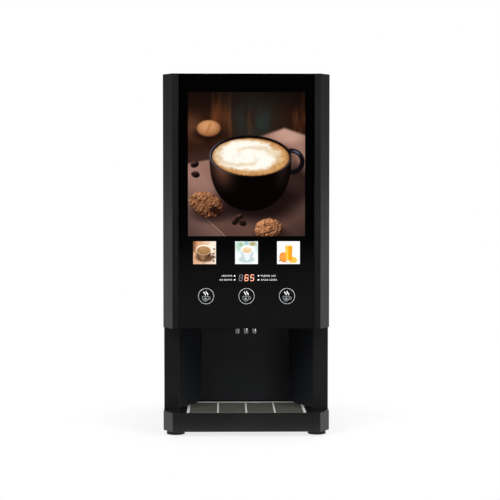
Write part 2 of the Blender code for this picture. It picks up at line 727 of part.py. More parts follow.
def make_drink_hoses():
    """Soft tubes from under each mixing bowl, bent towards the middle, to the nozzle block."""
    start_z = OUTLET_Z - FIT
    end_z = CEILING_TOP + BLOCK_HEIGHT + FIT
    drop = start_z - end_z - 2 * HOSE_STUB
    for number, (name, x) in enumerate(LANES):
        end_x = (number - 1) * NOZZLE_PITCH
        curve = bpy.data.curves.new("drink_hose", "CURVE")
        curve.dimensions = "3D"
        curve.bevel_depth = HOSE_RADIUS
        curve.bevel_resolution = 1
        curve.use_fill_caps = True
        steps = 6 if x == 0 else 14
        route = [(x, BOWL_Y, start_z)]
        for step in range(steps + 1):
            part = step / steps
            ease = part * part * (3 - 2 * part)
            sweep = HOSE_SWEEP * math.sin(2 * math.pi * part) if number != 1 else 0
            fall = HOSE_STUB + drop * (part + sweep)
            route.append((x + (end_x - x) * ease, BOWL_Y + (NOZZLE_Y - BOWL_Y) * ease, start_z - fall))
        route.append((end_x, NOZZLE_Y, end_z))
        spline = curve.splines.new("POLY")
        spline.points.add(len(route) - 1)
        for point, spot in zip(spline.points, route):
            point.co = (*spot, 1)
        tube = bpy.data.objects.new("drink_hose", curve)
        bpy.context.scene.collection.objects.link(tube)
        bpy.context.view_layer.update()
        graph = bpy.context.evaluated_depsgraph_get()
        shaped = bpy.data.meshes.new_from_object(tube.evaluated_get(graph))
        bpy.data.objects.remove(tube, do_unlink=True)
        bm = bmesh.new()
        bm.from_mesh(shaped)
        bmesh.ops.remove_doubles(bm, verts=bm.verts, dist=1e-6)
        finish(solid(bm), f"drink_hose_{name}", "blue_silicone")


# ---- Chassis and the three lanes ----------------------------------------------------------------


def make_chassis():
    across = span(0, INSIDE_HALF - FIT)
    overlap = SHEET / 2
    shelf_front = CABINET_FRONT + TOP_BEND + FIT
    foot_z = (CEILING_TOP + FIT, CEILING_TOP + FIT + SHEET)
    mixer_y = (MIXER_PLATE, MIXER_PLATE + SHEET)
    motor_y = (MOTOR_PLATE, MOTOR_PLATE + SHEET)
    chassis = block(across, (shelf_front, motor_y[1]), (SHELF_BOTTOM, SHELF_TOP))
    mixer_plate = block(across, mixer_y, (foot_z[0], SHELF_BOTTOM + overlap))
    foot = block(across, (MIXER_PLATE + overlap, MIXER_PLATE + CHASSIS_FOOT), foot_z)
    motor_plate = block(across, motor_y, (SHELF_BOTTOM + overlap, SHELF_TOP + MOTOR_PLATE_HEIGHT))
    join(chassis, mixer_plate, foot, motor_plate)
    tab_y = (MIXER_PLATE + 0.020, motor_y[1])
    tab_z = (SHELF_BOTTOM - CHASSIS_TAB, SHELF_BOTTOM + overlap)
    for side in (-1, 1):
        join(chassis, block(on_side(side, across[1], across[1] - SHEET), tab_y, tab_z))
    shelf_through = (SHELF_BOTTOM - MOULDING, SHELF_TOP + MOULDING)
    mixer_through = (MIXER_PLATE - MOULDING, MIXER_PLATE + SHEET + MOULDING)
    motor_through = (MOTOR_PLATE - MOULDING, MOTOR_PLATE + SHEET + MOULDING)
    holes = []
    for _, x in LANES:
        holes.append(rod(SPOUT_RADIUS + FIT, "Z", (x, BOWL_Y), *shelf_through))
        holes.append(rod(SHAFT_HOLE, "Y", (x, WHIPPER_Z), *mixer_through))
        holes.append(rod(SPIGOT_RADIUS + PLAY, "Y", (x, SPIGOT_Z), *mixer_through))
        holes.append(rod(MOTOR_BOSS + FIT, "Y", (x, AUGER_Z), *motor_through))
    finish(cut(chassis, *holes), "inner_chassis", "steel")


def canister_section(inset, top):
    """Half of a canister's section: an upright side, a slope and the auger's trough."""
    half = CANISTER_WIDTH / 2 - inset
    trough = TROUGH + CANISTER_WALL - inset
    shoulder = AUGER_Z + CANISTER_SHOULDER
    return [(trough, AUGER_Z), (half, shoulder), (half, top)]


def make_canister(name, x):
    outer_half = canister_section(0, CANISTER_TOP)
    foot_z = SHELF_TOP + FIT
    outer = [(TROUGH + CANISTER_WALL, foot_z)] + outer_half
    outer = [(x + across, up) for across, up in outer + mirrored(outer)]
    body = prism(outer, "Y", CANISTER_FRONT, CANISTER_BACK)
    inner_half = canister_section(CANISTER_WALL, CANISTER_TOP + MOULDING)
    trough = arc((0, AUGER_Z), TROUGH, 180, 360, 12)
    inner = inner_half + mirrored(inner_half) + trough[1:-1]
    inner = [(x + across, up) for across, up in inner]
    inside = prism(inner, "Y", CANISTER_FRONT + CANISTER_WALL, CANISTER_BACK - CANISTER_WALL)
    spout_bottom = SHELF_BOTTOM - SPOUT_DROP
    spout = rod(SPOUT_RADIUS, "Z", (x, BOWL_Y), spout_bottom, foot_z + CANISTER_WALL / 2)
    spout_bore = rod(SPOUT_RADIUS - CANISTER_WALL, "Z", (x, BOWL_Y), spout_bottom - MOULDING, AUGER_Z)
    rear_wall = (CANISTER_BACK - 2 * CANISTER_WALL, CANISTER_BACK + MOULDING)
    shaft_hole = rod(AUGER_SHAFT + PLAY, "Y", (x, AUGER_Z), *rear_wall)
    join(body, spout)
    cut(body, inside, spout_bore, shaft_hole, solver="MANIFOLD")
    finish(body, f"canister_{name}", "clear_plastic")


def make_canister_lid(name, x):
    """A cap that drops over the canister's rim, with a grip along its middle."""
    inner_half = CANISTER_WIDTH / 2 + PLAY
    outer_half = CANISTER_WIDTH / 2 + LANE_GAP / 2 - PLAY
    skirt = outer_half - inner_half
    y_inner = (CANISTER_FRONT - PLAY, CANISTER_BACK + PLAY)
    y_outer = (y_inner[0] - skirt, y_inner[1] + skirt)
    underside = CANISTER_TOP + FIT
    top = underside + LID_THICKNESS
    skirt_bottom = CANISTER_TOP - LID_SKIRT
    lid = block(span(x, outer_half), y_outer, (skirt_bottom, top))
    cut(lid, block(span(x, inner_half), y_inner, (skirt_bottom - MOULDING, underside)))
    middle = (CANISTER_FRONT + CANISTER_BACK) / 2
    grip_z = (top - PLAY, top + LID_GRIP_HEIGHT)
    grip = block(span(x, LID_GRIP_HALF_WIDTH), span(middle, LID_GRIP_HALF_LENGTH), grip_z)
    finish(join(lid, grip), f"canister_lid_{name}", "white_plastic")
    pivot(f"canister_lid_{name}_lift", (x, middle, underside), lid)


def auger_flight(low, high, steps_per_turn=6):
    """A helical blade round the Y axis through the origin, which starts inside the core all along."""
    root = AUGER_CORE * 0.6
    steps = int((high - low - FLIGHT_THICKNESS) / AUGER_PITCH * steps_per_turn)
    bm = bmesh.new()
    rings = []
    for step in range(steps + 1):
        angle = 2 * math.pi * step / steps_per_turn
        y = low + AUGER_PITCH * step / steps_per_turn
        far = y + FLIGHT_THICKNESS
        section = [(root, y), (AUGER_RADIUS, y), (AUGER_RADIUS, far), (root, far)]
        across, up = math.cos(angle), math.sin(angle)
        rings.append([bm.verts.new((r * across, along, r * up)) for r, along in section])
    for first, second in zip(rings, rings[1:]):
        for i in range(4):
            bm.faces.new((first[i - 1], first[i], second[i], second[i - 1]))
    bm.faces.new(rings[0])
    bm.faces.new(reversed(rings[-1]))
    return solid(bm)


def make_auger(name, x):
    shaft_end = MOTOR_PLATE - FIT
    flight_end = CANISTER_BACK - 2 * CANISTER_WALL - PLAY
    start = CANISTER_FRONT + CANISTER_WALL + PLAY
    core_profile = [
        (0, start),
        (AUGER_CORE, start),
        (AUGER_CORE, flight_end),
        (AUGER_SHAFT, flight_end),
        (AUGER_SHAFT, shaft_end),
        (0, shaft_end),
    ]
    core = turned(core_profile, "Y", (0, 0), 8)
    join(core, auger_flight(start + PLAY, flight_end - PLAY))
    finish(core, f"auger_{name}", "white_plastic")
    core.location = (x, 0, AUGER_Z)


def make_auger_motor(name, x):
    """A gearbox on the motor plate, with its boss through the plate and the motor behind."""
    plate_back = MOTOR_PLATE + SHEET + FIT
    gearbox_back = plate_back + GEARBOX_DEPTH
    boss = rod(MOTOR_BOSS, "Y", (x, AUGER_Z), MOTOR_PLATE, plate_back + PLAY)
    gearbox_z = (AUGER_Z - GEARBOX_BELOW, AUGER_Z + GEARBOX_ABOVE)
    gearbox = block(span(x, GEARBOX_HALF_WIDTH), (plate_back, gearbox_back), gearbox_z)
    can_front = gearbox_back - PLAY
    can_back = can_front + MOTOR_CAN_LENGTH
    can_profile = [
        (0, can_front),
        (MOTOR_CAN_RADIUS, can_front),
        (MOTOR_CAN_RADIUS, can_back - 0.002),
        (MOTOR_CAN_RADIUS - 0.002, can_back),
        (BEARING_CAP, can_back),
        (BEARING_CAP, can_back + 0.003),
        (0, can_back + 0.003),
    ]
    can = turned(can_profile, "Y", (x, AUGER_Z + MOTOR_CAN_RISE))
    finish(join(boss, gearbox, can), f"auger_motor_{name}", "steel")


def make_mixing_bowl(name, x):
    chamber_bottom = WHIPPER_Z - CHAMBER
    chamber_top = WHIPPER_Z + CHAMBER
    cone_top = chamber_top + BOWL_CONE
    chamber_out = CHAMBER + BOWL_WALL
    outer = [
        (0, OUTLET_Z),
        (OUTLET_RADIUS, OUTLET_Z),
        (OUTLET_RADIUS, chamber_bottom - BOWL_WALL),
        (chamber_out, chamber_bottom - BOWL_WALL),
        (chamber_out, chamber_top),
        (BOWL_RADIUS, cone_top),
        (BOWL_RADIUS, BOWL_TOP),
        (0, BOWL_TOP),
    ]
    inner = [
        (0, OUTLET_Z - MOULDING),
        (OUTLET_BORE, OUTLET_Z - MOULDING),
        (OUTLET_BORE, chamber_bottom),
        (CHAMBER, chamber_bottom),
        (CHAMBER, chamber_top + BOWL_WALL / 2),
        (BOWL_RADIUS - BOWL_WALL, cone_top + BOWL_WALL / 2),
        (BOWL_RADIUS - BOWL_WALL, BOWL_TOP + MOULDING),
        (0, BOWL_TOP + MOULDING),
    ]
    body = turned(outer, "Z", (x, BOWL_Y))
    lug_y = (BOWL_Y + CHAMBER, MIXER_PLATE - FIT)
    join(body, block(span(x, SHAFT_LUG), lug_y, (WHIPPER_Z - SHAFT_LUG, cone_top - BOWL_WALL)))
    inside = turned(inner, "Z", (x, BOWL_Y))
    shaft_hole = rod(WHIPPER_SHAFT + PLAY, "Y", (x, WHIPPER_Z), BOWL_Y, MIXER_PLATE + MOULDING)
    spigot_hole = rod(SPIGOT_RADIUS + PLAY, "Y", (x, SPIGOT_Z), BOWL_Y, MIXER_PLATE)
    cut(body, inside, shaft_hole, spigot_hole, solver="MANIFOLD")
    finish(body, f"mixing_bowl_{name}", "clear_plastic")


def make_whipper(name, x):
    """A disc on a long shaft that turns in the bowl's lower chamber."""
    shaft_end = MIXER_PLATE + SHEET
    profile = [
        (0, BOWL_Y - WHIPPER_HUB),
        (WHIPPER_HUB, BOWL_Y - WHIPPER_HUB),
        (WHIPPER_HUB, BOWL_Y - WHIPPER_HUB / 2),
        (WHIPPER_RADIUS, BOWL_Y - 0.0015),
        (WHIPPER_RADIUS, BOWL_Y + 0.001),
        (WHIPPER_SHAFT, BOWL_Y + 0.0025),
        (WHIPPER_SHAFT, shaft_end),
        (0, shaft_end),
    ]
    whipper = finish(turned(profile, "Y", (0, 0)), f"whipper_{name}", "white_plastic")
    whipper.location = (x, 0, WHIPPER_Z)


def make_whipper_motor(name, x):
    front = MIXER_PLATE + SHEET + FIT
    back = front + WHIPPER_MOTOR_LENGTH
    can_back = back - BEARING_CAP / 2
    profile = [
        (0, front),
        (WHIPPER_MOTOR_RADIUS, front),
        (WHIPPER_MOTOR_RADIUS, can_back - 0.002),
        (WHIPPER_MOTOR_RADIUS - 0.002, can_back),
        (WHIPPER_MOTOR_CAP, can_back),
        (WHIPPER_MOTOR_CAP, back),
        (0, back),
    ]
    finish(turned(profile, "Y", (x, WHIPPER_Z)), f"whipper_motor_{name}", "steel")


def make_valve_block():
    """A brass manifold behind the mixer plate, with a solenoid and a spigot for each bowl."""
    front = MIXER_PLATE + SHEET + FIT
    across = span(0, LANE_PITCH + 0.012)
    body_y = (front, front + VALVE_BLOCK_DEPTH)
    body = block(across, body_y, span(SPIGOT_Z, VALVE_BLOCK_HALF_HEIGHT))
    middle = front + VALVE_BLOCK_DEPTH / 2
    tip = BOWL_Y + BOWL_RADIUS - 2 * BOWL_WALL
    for _, x in LANES:
        spigot = rod(SPIGOT_RADIUS, "Y", (x, SPIGOT_Z), tip, middle, 12)
        coil = rod(VALVE_COIL_RADIUS, "Z", (x, middle + 0.002), SPIGOT_Z, SPIGOT_Z + VALVE_COIL_HEIGHT)
        join(body, spigot, coil)
    finish(body, "valve_block", "brass")


# ---- Water and electrical gear ------------------------------------------------------------------


def make_boiler():
    """A heated tank on a skirt, modelled without its inner space."""
    floor = FLOOR_TOP + FIT
    top = floor + BOILER_HEIGHT
    waist = BOILER_RADIUS - BOILER_SKIRT
    outlet = 0.006
    profile = [
        (0, floor),
        (BOILER_RADIUS, floor),
        (BOILER_RADIUS, floor + 0.002),
        (waist, floor + 0.002),
        (waist, floor + 0.018),
        (BOILER_RADIUS, floor + 0.023),
        (BOILER_RADIUS, top - 0.010),
        (BOILER_RADIUS - 0.008, top),
        (outlet, top),
        (outlet, top + 2 * outlet),
        (0, top + 2 * outlet),
    ]
    finish(turned(profile, "Z", (BOILER_X, BOILER_Y), 20), "boiler", "steel")


def make_water_pump():
    floor = FLOOR_TOP + FIT
    centre = (PUMP_X, PUMP_Y)
    half_width, half_depth, thickness = PUMP_FOOT
    foot_z = (floor, floor + thickness)
    foot = block(span(PUMP_X, half_width), span(PUMP_Y, half_depth), foot_z)
    half_width, half_depth, body_top = PUMP_BODY
    body_z = (foot_z[1] - PLAY, floor + body_top)
    body = block(span(PUMP_X, half_width), span(PUMP_Y, half_depth), body_z)
    head = rod(PUMP_HEAD_RADIUS, "Z", centre, body_z[1] - PLAY, floor + PUMP_HEAD_TOP)
    outlet_z = (floor + PUMP_HEAD_TOP - PLAY, floor + PUMP_OUTLET_TOP)
    outlet = rod(PUMP_OUTLET_RADIUS, "Z", centre, *outlet_z, 12)
    finish(join(foot, body, head, outlet), "water_pump", "white_plastic")


def make_control_board():
    """A circuit board on four posts, fixed to the left side panel behind the auger motors."""
    wall = -INSIDE_HALF + FIT
    board_x = (wall + BOARD_STANDOFF, wall + BOARD_STANDOFF + BOARD_THICKNESS)
    y = (REAR_IN - BOARD_REAR_GAP - BOARD_DEPTH, REAR_IN - BOARD_REAR_GAP)
    z = (SHELF_BOTTOM - BOARD_DROP, SHELF_BOTTOM + BOARD_RISE)
    board = block(board_x, y, z)
    for post_y in (y[0] + BOARD_POST_INSET, y[1] - BOARD_POST_INSET):
        for post_z in (z[0] + BOARD_POST_INSET, z[1] - BOARD_POST_INSET):
            join(board, rod(POST_RADIUS, "X", (post_y, post_z), wall, board_x[0] + PLAY, 12))
    for unit_y, unit_z, height in BOARD_UNITS:
        unit_x = (board_x[1] - PLAY, board_x[1] + height)
        y_range = (y[0] + unit_y[0], y[0] + unit_y[1])
        z_range = (z[0] + unit_z[0], z[0] + unit_z[1])
        join(board, block(unit_x, y_range, z_range))
    finish(board, "control_board", "green_board")


def make_fan():
    """A square fan on the rear panel: a frame with four struts to its boss, and the rotor it carries."""
    back = REAR_IN - FIT
    front = back - FAN_DEPTH
    half = FAN_SIZE / 2
    bore = half - FAN_RUNNING_GAP
    centre = (FAN_X, FAN_Z)
    frame = block(span(FAN_X, half), (front, back), span(FAN_Z, half))
    cut(frame, rod(bore, "Y", centre, front - MOULDING, back + MOULDING, 20))
    struts = (front, front + FAN_STRUT_DEPTH)
    reach = bore + 0.001
    boss = rod(FAN_HUB, "Y", centre, *struts)
    level = block(span(FAN_X, reach), struts, span(FAN_Z, FAN_STRUT))
    upright = block(span(FAN_X, FAN_STRUT), struts, span(FAN_Z, reach))
    finish(join(frame, boss, level, upright), "fan_frame", "black_moulding")

    hub = (struts[1] + PLAY, back - 0.002)
    rotor = rod(FAN_HUB, "Y", (0, 0), *hub)
    tilt = Matrix.Rotation(FAN_BLADE_PITCH, 4, "X")
    middle = Matrix.Translation((0, sum(hub) / 2, 0))
    for number in range(FAN_BLADES):
        blade_x = (FAN_HUB - 0.002, bore - FAN_RUNNING_GAP)
        blade = block(blade_x, span(0, FAN_BLADE_THICKNESS / 2), span(0, FAN_BLADE_CHORD / 2))
        turn = Matrix.Rotation(2 * math.pi * number / FAN_BLADES, 4, "Y")
        blade.data.transform(middle @ turn @ tilt)
        join(rotor, blade)
    finish(rotor, "fan_rotor", "black_moulding")
    rotor.location = (FAN_X, 0, FAN_Z)


def make_power_inlet():
    """A mains socket with a rocker switch above it, in one housing through the rear panel."""
    lip_back = REAR_OUT + INLET_LIP
    front = REAR_IN - INLET_DEPTH
    body_z = span(INLET_Z, INLET_HALF_HEIGHT)
    body = block(span(INLET_X, INLET_HALF_WIDTH), (front, REAR_OUT + INLET_LIP / 2), body_z)
    lip_x = span(INLET_X, INLET_HALF_WIDTH + INLET_LIP)
    lip_z = span(INLET_Z, INLET_HALF_HEIGHT + INLET_LIP)
    join(body, block(lip_x, (REAR_OUT + FIT, lip_back), lip_z))
    beyond = lip_back + MOULDING
    socket_bottom = body_z[0] + SOCKET_MARGIN
    socket_z = (socket_bottom, socket_bottom + SOCKET_HEIGHT)
    socket = block(span(INLET_X, SOCKET_HALF_WIDTH), (front + MOULDING, beyond), socket_z)
    rocker_z = body_z[1] - ROCKER_DROP
    recess_x = span(INLET_X, ROCKER_HALF_WIDTH + FIT)
    recess_y = (front + INLET_DEPTH / 2, beyond)
    recess = block(recess_x, recess_y, span(rocker_z, ROCKER_HALF_HEIGHT + ROCKER_PLAY))
    finish(cut(body, socket, recess), "power_inlet", "black_moulding")

    end, waist, shoulder = 0.003, 0.0018, 0.001
    section = [(end, -ROCKER_HALF_HEIGHT), (waist, 0), (end, ROCKER_HALF_HEIGHT)]
    section += [(shoulder, ROCKER_HALF_HEIGHT)] + arc((0, 0), ROCKER_SINK, 90, 270, 8)
    section += [(shoulder, -ROCKER_HALF_HEIGHT)]
    rocker = prism(section, "X", -ROCKER_HALF_WIDTH, ROCKER_HALF_WIDTH)
    rocker.data.transform(Matrix.Rotation(-ROCKER_TILT, 4, "X"))
    finish(rocker, "power_switch", "black_moulding")
    rocker.location = (INLET_X, lip_back - ROCKER_SINK, rocker_z)


def make_water_inlet():
    flange_front = REAR_OUT + FIT
    flange_back = flange_front + LINER
    end = BACK - FIT
    inner_end = REAR_IN - 0.010
    profile = [
        (0, inner_end),
        (WATER_NECK, inner_end),
        (WATER_NECK, flange_front),
        (WATER_THREAD + WATER_FLANGE, flange_front),
        (WATER_THREAD + WATER_FLANGE, flange_back),
        (WATER_THREAD, flange_back),
        (WATER_THREAD, end),
        (WATER_BORE, end),
        (WATER_BORE, inner_end + MOULDING),
        (0, inner_end + MOULDING),
    ]
    finish(turned(profile, "Y", (WATER_X, WATER_Z)), "water_inlet_fitting", "brass")


# ---- Door ---------------------------------------------------------------------------------------


def make_door_frame():
    """A moulded frame with chamfered sides. Its rear left edge is round about the hinge's axis."""
    right = right_corner(DOOR_CHAMFER_DEPTH) + [(SIDE, DOOR_BACK)]
    hinge_edge = arc((HINGE_X, HINGE_Y), HINGE_INSET, 90, 180, 6)
    left = hinge_edge + mirrored(right)[1:]
    frame = prism(right + left, "Z", DOOR_BOTTOM, HEIGHT)

    inner_right = right_corner(DOOR_CHAMFER_DEPTH, MOULDING, CAVITY_FRONT - FRONT)
    beyond = DOOR_BACK + MOULDING
    rear_left = HINGE_X + FIT
    cavity = inner_right + [(SIDE - MOULDING, beyond), (rear_left, beyond), (rear_left, HINGE_Y)]
    cavity += [(-SIDE + MOULDING, HINGE_Y - MOULDING)] + mirrored(inner_right)
    cavity_z = (DOOR_BOTTOM + MOULDING, HEIGHT - MOULDING)
    panel_y = (FRONT - MOULDING, LEDGE_FRONT)
    panel_seat = block(span(0, PANEL_OPENING), panel_y, (DOOR_BOTTOM - MOULDING, HEIGHT + MOULDING))
    window_z = (DOOR_BOTTOM + PANEL_LEDGE, HEIGHT - PANEL_LEDGE)
    window_y = (FRONT, CAVITY_FRONT + MOULDING)
    window = block(span(0, PANEL_OPENING - PANEL_LEDGE), window_y, window_z)
    cut(frame, panel_seat, prism(cavity, "Z", *cavity_z), window)

    boss_right = HINGE_X + HINGE_BOSS_REACH
    boss_front = HINGE_Y - HINGE_BOSS_REACH - 0.002
    inside = MOULDING / 2  # the bosses start inside the frame's wall
    outline = [(-SIDE + inside, boss_front), (boss_right, boss_front), (boss_right, DOOR_BACK - inside)]
    outline += arc((HINGE_X, HINGE_Y), HINGE_INSET - inside, 90, 180, 6)
    bosses = [
        prism(outline, "Z", DOOR_BOTTOM + inside, DOOR_BOTTOM + HINGE_BOSS_HEIGHT),
        prism(outline, "Z", HEIGHT - HINGE_BOSS_HEIGHT, HEIGHT - inside),
    ]
    join(frame, *bosses)

    pocket_x = (-SIDE - MOULDING, HINGE_X + HINGE_INSET + PLAY)
    pocket_y = (HINGE_Y - HINGE_POCKET_REACH, beyond)
    lower_top = DOOR_BOTTOM + PLAY + HINGE_PLATE + 2 * PLAY
    upper_bottom = HEIGHT - HINGE_DROP - 2 * PLAY
    bore = HINGE_PIN + FIT
    axis = (HINGE_X, HINGE_Y)
    reach = HINGE_PIN_LENGTH + PLAY
    cut(
        frame,
        block(pocket_x, pocket_y, (DOOR_BOTTOM - MOULDING, lower_top)),
        block(pocket_x, pocket_y, (upper_bottom, HEIGHT + MOULDING)),
        rod(bore, "Z", axis, DOOR_BOTTOM, lower_top + reach),
        rod(bore, "Z", axis, upper_bottom - reach, HEIGHT),
    )
    return finish(frame, "door_frame", "black_moulding")


def make_door_panel():
    """A clear sheet printed black behind, with a raised ring round each button's hole."""
    panel = block(span(0, PANEL_HALF), (PANEL_FRONT, PANEL_BACK), (DOOR_BOTTOM, HEIGHT))
    hole = BUTTON_RADIUS + FIT
    for _, x in button_places():
        ring = rod(hole + BUTTON_RING, "Y", (x, BUTTON_Z), FRONT, PANEL_FRONT + PLAY, 24)
        through = rod(hole, "Y", (x, BUTTON_Z), FRONT - MOULDING, PANEL_BACK + MOULDING, 24)
        cut(join(panel, ring, solver="MANIFOLD"), through, solver="MANIFOLD")
    return finish(panel, "door_panel", "black_acrylic")


def button_places():
    return [(name, (number - 1) * BUTTON_PITCH) for number, name in enumerate(LANE_NAMES)]


def make_door_back():
    """The sheet that closes the door's rear, with the hook that the cam lock holds."""
    y = (DOOR_BACK - SHEET - PLAY, DOOR_BACK - PLAY)
    right = SIDE - MOULDING - FIT
    left = HINGE_X + 2 * FIT
    notch = HINGE_X + HINGE_BOSS_REACH + FIT
    low = DOOR_BOTTOM + MOULDING + FIT
    high = HEIGHT - MOULDING - FIT
    low_notch = DOOR_BOTTOM + HINGE_BOSS_HEIGHT + FIT
    high_notch = HEIGHT - HINGE_BOSS_HEIGHT - FIT
    outline = [
        (notch, low),
        (right, low),
        (right, high),
        (notch, high),
        (notch, high_notch),
        (left, high_notch),
        (left, low_notch),
        (notch, low_notch),
    ]
    plate = prism(outline, "Y", *y)
    arm_bottom = LOCK_Z + CAM_LENGTH + KEEPER_SHEET
    arm_top = arm_bottom + KEEPER_SHEET
    lip_front = LOCK_Y + CAM_HALF_WIDTH + LINER / 2
    lip_back = lip_front + KEEPER_SHEET
    keeper_x = (keeper_left(), keeper_left() + KEEPER_WIDTH)
    arm = block(keeper_x, (y[0] + SHEET / 2, lip_back), (arm_bottom, arm_top))
    lip_z = (LOCK_Z + KEEPER_LAP, arm_bottom + KEEPER_SHEET / 2)
    lip = block(keeper_x, (lip_front, lip_back), lip_z)
    return finish(join(plate, join(arm, lip)), "door_back_plate", "black_paint")


def keeper_left():
    return SHELL_HALF - TOP_FLANGE - KEEPER_WIDTH - 0.005


def make_light_box():
    """A tray of lamps open to the front, with one bay behind the poster and one behind each picture."""
    front = PANEL_BACK + FIT
    back = front + LIGHT_BOX_DEPTH
    half = POSTER_HALF + 2 * LIGHT_BOX_WALL
    z = (PICTURE_BOTTOM - 2 * LIGHT_BOX_WALL, POSTER_TOP + 2 * LIGHT_BOX_WALL)
    box = block(span(0, half), (front, back), z)
    bay_y = (front - MOULDING, back - LIGHT_BOX_WALL)
    bays = [block(span(0, POSTER_HALF), bay_y, (POSTER_BOTTOM, POSTER_TOP))]
    for number in (-1, 0, 1):
        bay_x = span(number * PICTURE_PITCH, PICTURE_SIZE / 2)
        bays.append(block(bay_x, bay_y, (PICTURE_BOTTOM, PICTURE_TOP)))
    return finish(cut(box, *bays), "light_box", "white_plastic")


def make_display_board():
    """The board behind the panel: digits, four lamps, a switch behind each button and four posts."""
    front = PANEL_BACK + FIT
    board_front = front + DISPLAY_BOARD_GAP
    overlap = board_front + PLAY
    low = BUTTON_Z - BUTTON_RADIUS - BUTTON_STEM
    high = PICTURE_BOTTOM - 2 * LIGHT_BOX_WALL - MOULDING
    half = BUTTON_PITCH + BUTTON_RADIUS + POST_INSET
    board = block(span(0, half), (board_front, board_front + BOARD_THICKNESS), (low, high))
    digits = block(span(0, DIGITS_HALF_WIDTH), (front, overlap), span(DISPLAY_Z, DIGITS_HALF_HEIGHT))
    join(board, digits)
    for side in (-1, 1):
        for lamp_z in span(DISPLAY_Z, LAMP_RISE):
            join(board, rod(LAMP_RADIUS, "Y", (side * LAMP_X, lamp_z), front, overlap, 12))
        for post in ((half - POST_INSET, high - POST_INSET), (BUTTON_PITCH / 2, low + POST_INSET)):
            join(board, rod(POST_RADIUS, "Y", (side * post[0], post[1]), front, overlap, 12))
    stem_end = front + BUTTON_FLANGE + BUTTON_STEM_LENGTH
    switch_front = stem_end + BUTTON_TRAVEL + FIT
    for _, x in button_places():
        switch = block(span(x, BUTTON_STEM), (switch_front, overlap), span(BUTTON_Z, BUTTON_STEM))
        join(board, switch)
    return finish(board, "display_board", "green_board")


def make_drink_button(name, x):
    """A round cap with a flange behind the panel and a stem that meets its switch."""
    flange_front = PANEL_BACK + FIT
    flange_back = flange_front + BUTTON_FLANGE
    stem_end = flange_back + BUTTON_STEM_LENGTH
    flange = BUTTON_RADIUS + FIT + BUTTON_RING
    face = FRONT + BUTTON_RECESS
    profile = [
        (0, face),
        (BUTTON_RADIUS - BUTTON_EDGE, face),
        (BUTTON_RADIUS, face + BUTTON_EDGE),
        (BUTTON_RADIUS, flange_front),
        (flange, flange_front),
        (flange, flange_back),
        (BUTTON_STEM, flange_back),
        (BUTTON_STEM, stem_end),
        (0, stem_end),
    ]
    return finish(turned(profile, "Y", (x, BUTTON_Z), 24), f"drink_button_{name}", "black_acrylic")


def make_door():
    pieces = [make_door_frame(), make_door_panel(), make_door_back()]
    pieces += [make_light_box(), make_display_board()]
    pieces += [make_drink_button(name, x) for name, x in button_places()]
    pivot("door_hinge_axis", (HINGE_X, HINGE_Y, DOOR_BOTTOM), *pieces)


def make_lock():
    """A barrel through the right side panel, and the keyed plug in it that carries the cam."""
    inner = SHELL_HALF - LOCK_DEPTH
    rosette_x = SHELL_HALF + FIT / 6
    outer = SIDE - FIT / 6
    barrel_profile = [
        (LOCK_PLUG + FIT, inner),
        (LOCK_BARREL, inner),
        (LOCK_BARREL, rosette_x),
        (LOCK_ROSETTE, rosette_x),
        (LOCK_ROSETTE, outer),
        (LOCK_PLUG + FIT, outer),
    ]
    finish(turned(barrel_profile, "X", (LOCK_Y, LOCK_Z), 24, ring=True), "lock_barrel", "chrome")
    cam_x = keeper_left() + KEEPER_WIDTH / 3
    profile = [
        (0, cam_x),
        (0.005, cam_x),
        (0.005, inner - PLAY),
        (LOCK_PLUG, inner - PLAY),
        (LOCK_PLUG, outer),
        (0, outer),
    ]
    plug = turned(profile, "X", (0, 0), 24)
    cam = block((cam_x, cam_x + CAM_THICKNESS), (-CAM_LENGTH, 0), span(0, CAM_HALF_WIDTH))
    keyway = block((outer - KEYWAY_DEPTH, outer + MOULDING), span(0, 0.0006), span(0, 0.0035))
    cut(join(plug, cam), keyway)
    finish(plug, "lock_plug", "chrome")
    plug.location = (0, LOCK_Y, LOCK_Z)


# ---- Assembly -----------------------------------------------------------------------------------


clear_scene()
make_base()
make_feet()
make_drip_tray()
make_side_panels()
make_top_cover()
make_rear_panel()
make_cup_station()
make_nozzles()
make_drink_hoses()
make_chassis()
for lane_name, lane_x in LANES:
    make_canister(lane_name, lane_x)
    make_canister_lid(lane_name, lane_x)
    make_auger(lane_name, lane_x)
    make_auger_motor(lane_name, lane_x)
    make_mixing_bowl(lane_name, lane_x)
    make_whipper(lane_name, lane_x)
    make_whipper_motor(lane_name, lane_x)
make_valve_block()
make_boiler()
make_water_pump()
make_control_board()
make_fan()
make_power_inlet()
make_water_inlet()
make_door()
make_lock()
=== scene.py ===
"""Looks of a counter-top hot drinks machine: its finishes, lit front, studio light, floor and camera."""

import math

import bmesh
import bpy
import numpy as np
from mathutils import Matrix, Vector


